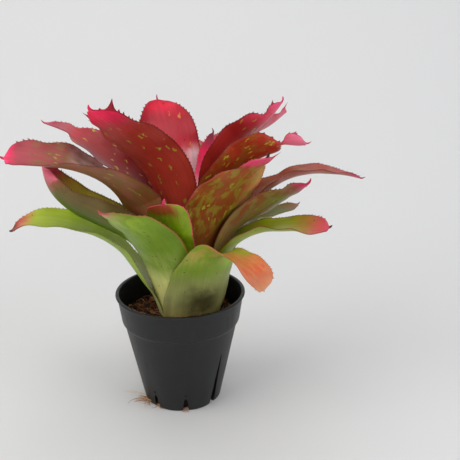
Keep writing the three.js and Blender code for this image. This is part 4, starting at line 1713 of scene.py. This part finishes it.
@dataclass
class CoirBed:
    """Coconut coir in the pot: a lumpy body, husk chips, and strands of fibre."""

    level: float = 67.0
    wall_top: float = 40.0
    foot_radius: float = 27.0
    foot: float = 2.0
    lump: float = 1.6
    seat: float = 19.0
    seat_depth: float = 9.0
    heap: tuple[float, float, float, float] = (12.0, -31.0, 12.0, 7.0)  # x, y, height, half-width
    chips: int = 260
    chip_corners: float = 0.55  # power that squares an ellipsoid off
    strands: int = 420
    seed: int = 7

    def surface_height(self, x: np.ndarray, y: np.ndarray) -> np.ndarray:
        """Height of the coir's top: the level, with lumps and a heap, and the seat of the plant.

        Args:
            x: places across.
            y: places from front to back.

        Returns:
            The height at each place.
        """
        flat = np.stack([x, y, 0 * x], -1)
        lumps = self.lump * (0.6 * ripple(flat, 11.0, 3) + 0.4 * ripple(flat, 4.5, 4))
        heap_x, heap_y, heap_high, heap_wide = self.heap
        away = np.hypot(x - heap_x, y - heap_y) / heap_wide
        lumps = lumps + heap_high * np.exp(-(away**2))
        from_plant = np.hypot(x - PLANT_X, y)
        seat = self.seat_depth * (1 - smooth(from_plant, self.seat - 8, self.seat + 1))
        return self.level + lumps - seat

    def body(self) -> Patch:
        """The lumpy body: up the inside of the wall, then in over the top to the middle.

        Its side is pushed in by ripples, as packed chips are behind the slits.

        Returns:
            The closed body, with a shade of 0.
        """
        turn = np.linspace(0, 2 * np.pi, 160, endpoint=False)
        up = np.linspace(0, 1, 36)[:, None]
        side_z = mix(self.foot, self.level - 2.5, up)
        side_r = mix(self.foot_radius, self.wall_top, up) - 0.5
        side = around_axis(side_r, turn, side_z)
        fade = np.minimum(1, 8 * np.minimum(up, 1 - up))[..., None]
        rough = 0.6 * ripple(side, 5.0, 8)[..., None] * fade
        side = side - unit(side * np.array([1, 1, 0])) * np.abs(rough)
        inwards = np.linspace(0, 1, 44)[1:, None]
        top_r = (self.wall_top - 0.8) * (1 - inwards) + 0.05
        x, y = top_r * np.cos(turn), top_r * np.sin(turn)
        top = np.stack([x, y, self.surface_height(x, y)], -1)
        rings = np.concatenate([side, top])
        # The body takes shade 0, the darkest colour: partly damp coir's own dark brown, partly painted
        # shade between the chips.
        return tubes(rings[None], shade=np.zeros((1, len(rings), 1)))

    def scattered(self, draw: np.random.Generator, count: int, inner: float) -> np.ndarray:
        """Random places on the top, evenly over its area, outside the leaf bases.

        Args:
            draw: the random generator.
            count: how many places.
            inner: their least distance from the plant's middle.

        Returns:
            The places.
        """
        turn = draw.uniform(0, 2 * np.pi, 6 * count)
        radius = (self.wall_top - 1.5) * np.sqrt(draw.uniform(0, 1, 6 * count))
        x, y = radius * np.cos(turn), radius * np.sin(turn)
        keep = np.hypot(x - PLANT_X, y) > inner
        x, y = x[keep][:count], y[keep][:count]
        return np.stack([x, y, self.surface_height(x, y)], -1)

    def in_slits(self) -> np.ndarray:
        """Places for crumbs that have sunk into the foot of each slit.

        Returns:
            The places.
        """
        turn = NurseryPot().slit_angles() + np.array([[-0.03], [0.02], [0.0]])
        radius = self.foot_radius - np.array([[1.4], [2.2], [3.4]])
        return around_axis(radius, turn, 0.7).reshape(-1, 3)

    def husk_chips(self) -> Patch:
        """Chips of husk: squared-off ellipsoids, each stretched, bent by ripples, and turned.

        Returns:
            The chips, each with a shade of its own.
        """
        draw = np.random.default_rng(self.seed)
        place = np.concatenate([self.scattered(draw, self.chips, self.seat + 0.5), self.in_slits()])
        count = len(place)
        lat = np.linspace(-1.45, 1.45, 7)[:, None]
        lon = np.linspace(0, 2 * np.pi, 10, endpoint=False)
        ball = around_axis(np.cos(lat), lon, np.sin(lat))
        shell = np.sign(ball) * np.abs(ball) ** self.chip_corners
        ranges = ((1.2, 3.4), (0.8, 2.0), (0.35, 0.9))  # half of length, width and thickness
        size = np.stack([draw.uniform(*half, count) for half in ranges], -1)
        size = size * np.where(place[:, 2:] < self.foot, 0.5, 1.0)
        rings = shell[None] * size[:, None, None]
        rings = rings + 0.22 * ripple(rings + place[:, None, None] * 3, 2.2, 5)[..., None]
        tilt, spin = draw.normal(0, 0.45, count), draw.uniform(0, 2 * np.pi, count)
        cos, sin = np.cos(tilt)[:, None, None], np.sin(tilt)[:, None, None]
        x, y, z = np.moveaxis(rings, -1, 0)
        rings = np.stack([x * cos - z * sin, y, x * sin + z * cos], -1)
        rings = turned_about_z(rings, np.broadcast_to(spin[:, None, None], rings.shape[:3]))
        rings = rings + (place + [0, 0, 0.4])[:, None, None]
        return tubes(rings, shade=draw.uniform(0.1, 0.75, count)[:, None, None])

    def fibre(self) -> Patch:
        """Strands of fibre: thin tubes on paths that bend at a steady random rate.

        A path's heading is its start plus its bend times the way along, and its rise falls from
        its first angle to lie along the coir.

        Returns:
            The strands, each with a shade of its own.
        """
        draw = np.random.default_rng(self.seed + 1)
        start = self.scattered(draw, self.strands, self.seat - 0.5)
        count = len(start)
        way = np.linspace(0, 1, STRAND_POINTS)
        reach = draw.uniform(5, 19, count)
        first, bend = draw.uniform(0, 2 * np.pi, count), draw.normal(0, 1.0, count)
        heading = first[:, None] + bend[:, None] * way
        rise = np.abs(draw.normal(0.1, 0.3, count))[:, None] * (1 - 1.4 * way)
        path = self.kept_inside(wandering(start, heading, rise, reach))
        thick = draw.uniform(0.10, 0.26, count)[:, None] * (1 - 0.75 * way**2)
        return swept(path, thick, shade=draw.uniform(0.35, 1.0, count)[:, None, None])

    def kept_inside(self, path: np.ndarray) -> np.ndarray:
        """Paths with their places drawn in from the wall, out of the plant, and off the body.

        Args:
            path: array of paths x places x 3.

        Returns:
            The paths moved.
        """
        radius = np.hypot(path[..., 0], path[..., 1])
        drawn_in = np.minimum(1, (self.wall_top - 0.5) / radius)
        x, y = path[..., 0] * drawn_in - PLANT_X, path[..., 1] * drawn_in
        out = np.maximum(1, (self.seat - 0.5) / np.maximum(np.hypot(x, y), 1e-6))
        x, y = x * out + PLANT_X, y * out
        low = self.surface_height(x, y) + 0.1
        return np.stack([x, y, np.maximum(path[..., 2], low)], -1)

    def build(self) -> bpy.types.Object:
        """Makes the coir as one piece."""
        patch = joined([self.body(), self.husk_chips(), self.fibre()])
        return dress(new_object("coir_bed", patch, CoconutCoir().material()), "coir", "coir")


def wandering(
    start: np.ndarray, heading: np.ndarray, rise: np.ndarray, reach: np.ndarray
) -> np.ndarray:
    """Paths from their starts, as the running sum of equal steps along a heading and a rise."""
    step = towards(heading, rise) * (reach / (STRAND_POINTS - 1))[:, None, None]
    return start[:, None] + np.cumsum(step, 1)


def swept(path: np.ndarray, thick: np.ndarray, sides: int = 6, **values: np.ndarray) -> Patch:
    """Round tubes along paths.

    Each ring is place + thick * (cos t * sideways + sin t * upright), with sideways level.

    Args:
        path: array of tubes x places x 3.
        thick: radius at each place.
        sides: points round each ring.
        values: values to store at the points.

    Returns:
        The tubes as one patch.
    """
    ahead = unit(np.gradient(path, axis=1))
    sideways = unit(np.cross(ahead, [0.02, 0.03, 1.0]))
    upright = np.cross(ahead, sideways)
    t = np.linspace(0, 2 * np.pi, sides, endpoint=False)
    around = sideways[:, :, None] * np.cos(t)[:, None] + upright[:, :, None] * np.sin(t)[:, None]
    return tubes(path[:, :, None] + around * thick[..., None, None], **values)


@dataclass(frozen=True)
class Tuft:
    """Fibres that start together: where, their heading and its spread, their reach and number."""

    azimuth: float
    radius: float
    heading: float
    spread: float
    reach: float
    count: int


@dataclass
class FootFibres:
    """Fibres that have worked out through the slits and lie along the ground."""

    seed: int = 11
    lowest: float = 0.3
    tufts: tuple[Tuft, ...] = (
        Tuft(212.0, 27.5, 196.0, 30.0, 11.0, 26),
        Tuft(222.0, 27.0, 150.0, 14.0, 12.0, 14),
        Tuft(228.0, 27.5, 300.0, 16.0, 7.0, 12),
        Tuft(278.0, 27.0, 290.0, 25.0, 4.5, 10),
        Tuft(278.0, 28.0, 235.0, 18.0, 4.5, 5),
        Tuft(205.0, 28.5, 162.0, 10.0, 19.0, 4),
    )

    def tuft(self, draw: np.random.Generator, t: Tuft) -> tuple[np.ndarray, ...]:
        """One tuft, whose fibres fan out with random bends.

        Args:
            draw: the random generator.
            t: the tuft.

        Returns:
            Its fibres' paths, thicknesses and shades.
        """
        way = np.linspace(0, 1, STRAND_POINTS)
        at = np.radians(t.azimuth + draw.normal(0, 2.5, t.count))
        out = t.radius + draw.normal(0, 0.7, t.count)
        low = np.abs(draw.normal(0.9, 0.7, t.count)) + self.lowest
        bend = draw.normal(0, 0.9, t.count)[:, None] * way
        turn = np.radians(t.heading + draw.normal(0, t.spread, t.count))[:, None] + bend
        rise = np.abs(draw.normal(0, 0.22, t.count))[:, None] * (1 - 1.5 * way)
        reach = t.reach * draw.uniform(0.5, 1.1, t.count)
        path = wandering(around_axis(out, at, low), turn, rise, reach)
        path[..., 2] = np.maximum(path[..., 2], self.lowest)
        thick = draw.uniform(0.1, 0.24, t.count)[:, None] * (1 - 0.6 * way**2)
        return path, thick, draw.uniform(0.7, 1.25, t.count)

    def build(self) -> bpy.types.Object:
        """Makes the fibres as one piece, which belongs to the coir.

        Returns:
            The piece.
        """
        draw = np.random.default_rng(self.seed)
        tufts = [self.tuft(draw, t) for t in self.tufts]
        path, thick, shade = (np.concatenate(parts) for parts in zip(*tufts))
        patch = swept(path, thick, shade=shade[:, None, None])
        return dress(new_object("foot_fibres", patch, CoconutCoir().material()), "coir")


@dataclass(frozen=True)
class CoconutCoir:
    """Damp coconut husk, cut and teased: dull, near black between the chips, partly as painted shade,
    and tan along the strands.
    """

    name: str = "damp_coconut_coir"
    shades: Stops = (
        (0.0, "#160b07"), (0.3, "#3c2216"), (0.6, "#704028"), (0.85, "#a86e4a"), (1.0, "#dcb284"),
    )
    grain_mm: float = 0.9
    roughness: float = 0.85
    relief_mm: float = 0.35

    def material(self) -> bpy.types.Material:
        """Colours by each strand's shade, with a fine fibrous noise.

        Returns:
            The material.
        """
        p = Painter(self.name)
        grain = p.noise(p.object_mm(), self.grain_mm, 4.0)
        colour = p.colours(p.shaken(p.value("shade"), grain, 0.5), self.shades)
        shine = {"Specular IOR Level": 0.25}
        return p.finish(colour, self.roughness, grain, self.relief_mm, shine)


@dataclass(frozen=True)
class StemTissue:
    """Dull brown stem, ringed by old leaf scars."""

    name: str = "scarred_stem_tissue"
    brown: str = "#6d5232"
    scar: str = "#3d2b18"
    ring_mm: float = 1.2
    roughness: float = 0.8
    relief_mm: float = 0.4

    def material(self) -> bpy.types.Material:
        """Brown, with dark rings.

        Returns:
            The material.
        """
        p = Painter(self.name)
        rings = p.noise(p.stretched(p.object_mm(), 0.12, 0.12, 1.0), self.ring_mm, 3.0)
        colour = p.blend(p.ramp(rings, 0.45, 0.6), linear(self.brown), linear(self.scar))
        shine = {"Specular IOR Level": 0.3}
        return p.finish(colour, self.roughness, rings, self.relief_mm, shine)


# ---------------------------------------------------------------- rosette


@dataclass
class Rosette:
    """The stem and its leaves."""

    slots: tuple[tuple[int, str], ...] = ((3, "leaf_outer"), (6, "leaf_middle"))
    inner_slot: str = "leaf_inner"

    def build(self, frame: dict) -> None:
        """Dresses the stem's node, and makes each leaf with its own finish.

        Args:
            frame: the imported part, as loaded.
        """
        frame["nodes"]["stem"].data.materials.clear()
        frame["nodes"]["stem"].data.materials.append(StemTissue().material())
        for shape in LEAVES:
            surface = LeafSurface(shape, **OWN_SURFACES.get(shape.name, {}))
            finish = FINISHES[shape.name.split("_", 2)[2]]
            leaf = new_object("neoregelia_" + shape.name, surface.patch(), finish.material())
            dress(leaf, self.slot(shape), shape.name)

    def slot(self, shape: LeafShape) -> str:
        """The record's slot for a leaf: that of the first band of layers that holds it."""
        found = [slot for end, slot in self.slots if shape.layer < end]
        return found[0] if found else self.inner_slot


# ---------------------------------------------------------------- studio


@dataclass(frozen=True)
class Softbox:
    """A square soft light: where it hangs and the point that it faces, in metres, and its watts."""

    name: str
    place: tuple[float, float, float]
    aim: tuple[float, float, float]
    size: float
    power: float
    tint: str

    def build(self) -> None:
        """Hangs the light, turned so that its -Z looks at the point."""
        lamp = bpy.data.lights.new(self.name, "AREA")
        lamp.shape, lamp.size, lamp.energy = "SQUARE", self.size, self.power
        lamp.color = linear(self.tint)[:3]
        made = bpy.data.objects.new(self.name, lamp)
        made.location = self.place
        x, y, z = np.array(self.aim) - np.array(self.place)
        made.rotation_euler = math.atan2(math.hypot(x, y), -z), 0.0, math.atan2(y, x) - math.pi / 2
        bpy.context.scene.collection.objects.link(made)


@dataclass
class Studio:
    """Pale sweep, soft light, and the camera, in metres and degrees."""

    sweep_front: float = -3.0
    sweep_back: float = 0.2
    sweep_curve: float = 0.6
    sweep_top: float = 3.0
    half_width: float = 4.0
    air: str = "#e4e6ea"
    air_strength: float = 0.26
    camera_place: tuple[float, float, float] = (0.0365, -0.460, 0.289)
    camera_down: float = 18.9
    camera_lens: float = 53.2
    camera_sensor: float = 36.0
    lights: tuple[Softbox, ...] = (
        Softbox("left_softbox", (-1.0, -0.55, 0.95), (0, 0, 0.12), 1.2, 9.0, "#fffdf8"),
        Softbox("right_softbox", (1.1, -0.6, 0.85), (0, 0, 0.12), 1.1, 6.5, "#f8faff"),
        Softbox("overhead", (0.0, 0.1, 1.5), (0, 0.05, 0.0), 1.3, 7.0, "#ffffff"),
        Softbox("front_fill", (0.1, -1.7, 0.7), (0, 0, 0.12), 1.2, 7.0, "#ffffff"),
    )

    def sweep(self) -> None:
        """Floor that curves up into a wall: a straight run, a quarter circle, a straight run."""
        bend = np.linspace(0, np.pi / 2, 24)
        curve = self.sweep_back + self.sweep_curve * np.sin(bend)
        y = np.concatenate([[self.sweep_front, 0.0], curve, curve[-1:]])
        rise = self.sweep_curve * (1 - np.cos(bend))
        z = np.concatenate([[0.0, 0.0], rise, [self.sweep_top]])
        x = np.array([-self.half_width, self.half_width])
        points = np.stack(np.broadcast_arrays(x, y[:, None], z[:, None]), -1).reshape(-1, 3) / MM
        k = np.arange(len(y) - 1) * 2
        faces = [np.stack([k, k + 1, k + 3, k + 2], -1)]
        new_object("studio_sweep", Patch(points, faces), StudioPaper().material())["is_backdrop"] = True

    def camera(self) -> None:
        """Places the camera and makes it the scene's own."""
        lens = bpy.data.cameras.new("camera")
        lens.lens, lens.sensor_width = self.camera_lens, self.camera_sensor
        lens.clip_start, lens.clip_end = 0.02, 20.0
        camera = bpy.data.objects.new("camera", lens)
        camera.location = self.camera_place
        camera.rotation_euler = (math.radians(90 - self.camera_down), 0, 0)
        bpy.context.scene.collection.objects.link(camera)
        bpy.context.scene.camera = camera

    def build(self) -> None:
        """Makes the sweep, the lights, the world and the camera."""
        self.sweep()
        for light in self.lights:
            light.build()
        world = bpy.data.worlds.new("studio_air")
        world.use_nodes = True
        backdrop = world.node_tree.nodes["Background"]
        backdrop.inputs["Color"].default_value = linear(self.air)
        backdrop.inputs["Strength"].default_value = self.air_strength
        bpy.context.scene.world = world
        bpy.context.scene.view_settings.view_transform = "Standard"
        self.camera()


@dataclass(frozen=True)
class StudioPaper:
    """Matt pale grey background paper."""

    name: str = "matt_background_paper"
    grey: str = "#e3e3e3"
    roughness: float = 0.9

    def material(self) -> bpy.types.Material:
        """Plain paper with a trace of tooth.

        Returns:
            The material.
        """
        p = Painter(self.name)
        tooth = p.noise(p.object_mm(), 1.0)
        shine = {"Specular IOR Level": 0.1}
        return p.finish(linear(self.grey), self.roughness, tooth, 0.02, shine)


def corners() -> list[list[float]]:
    """Lowest and highest corner of what shows, as plain lists."""
    return [[float(c) for c in corner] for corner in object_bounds()]


def main() -> None:
    """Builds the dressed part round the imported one, in order."""
    logging.basicConfig(level=logging.INFO, format="%(name)s: %(message)s")
    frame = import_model()
    Studio().build()
    NurseryPot().build()
    CoirBed().build()
    FootFibres().build()
    Rosette().build(frame)


if __name__ == "__main__":
    main()
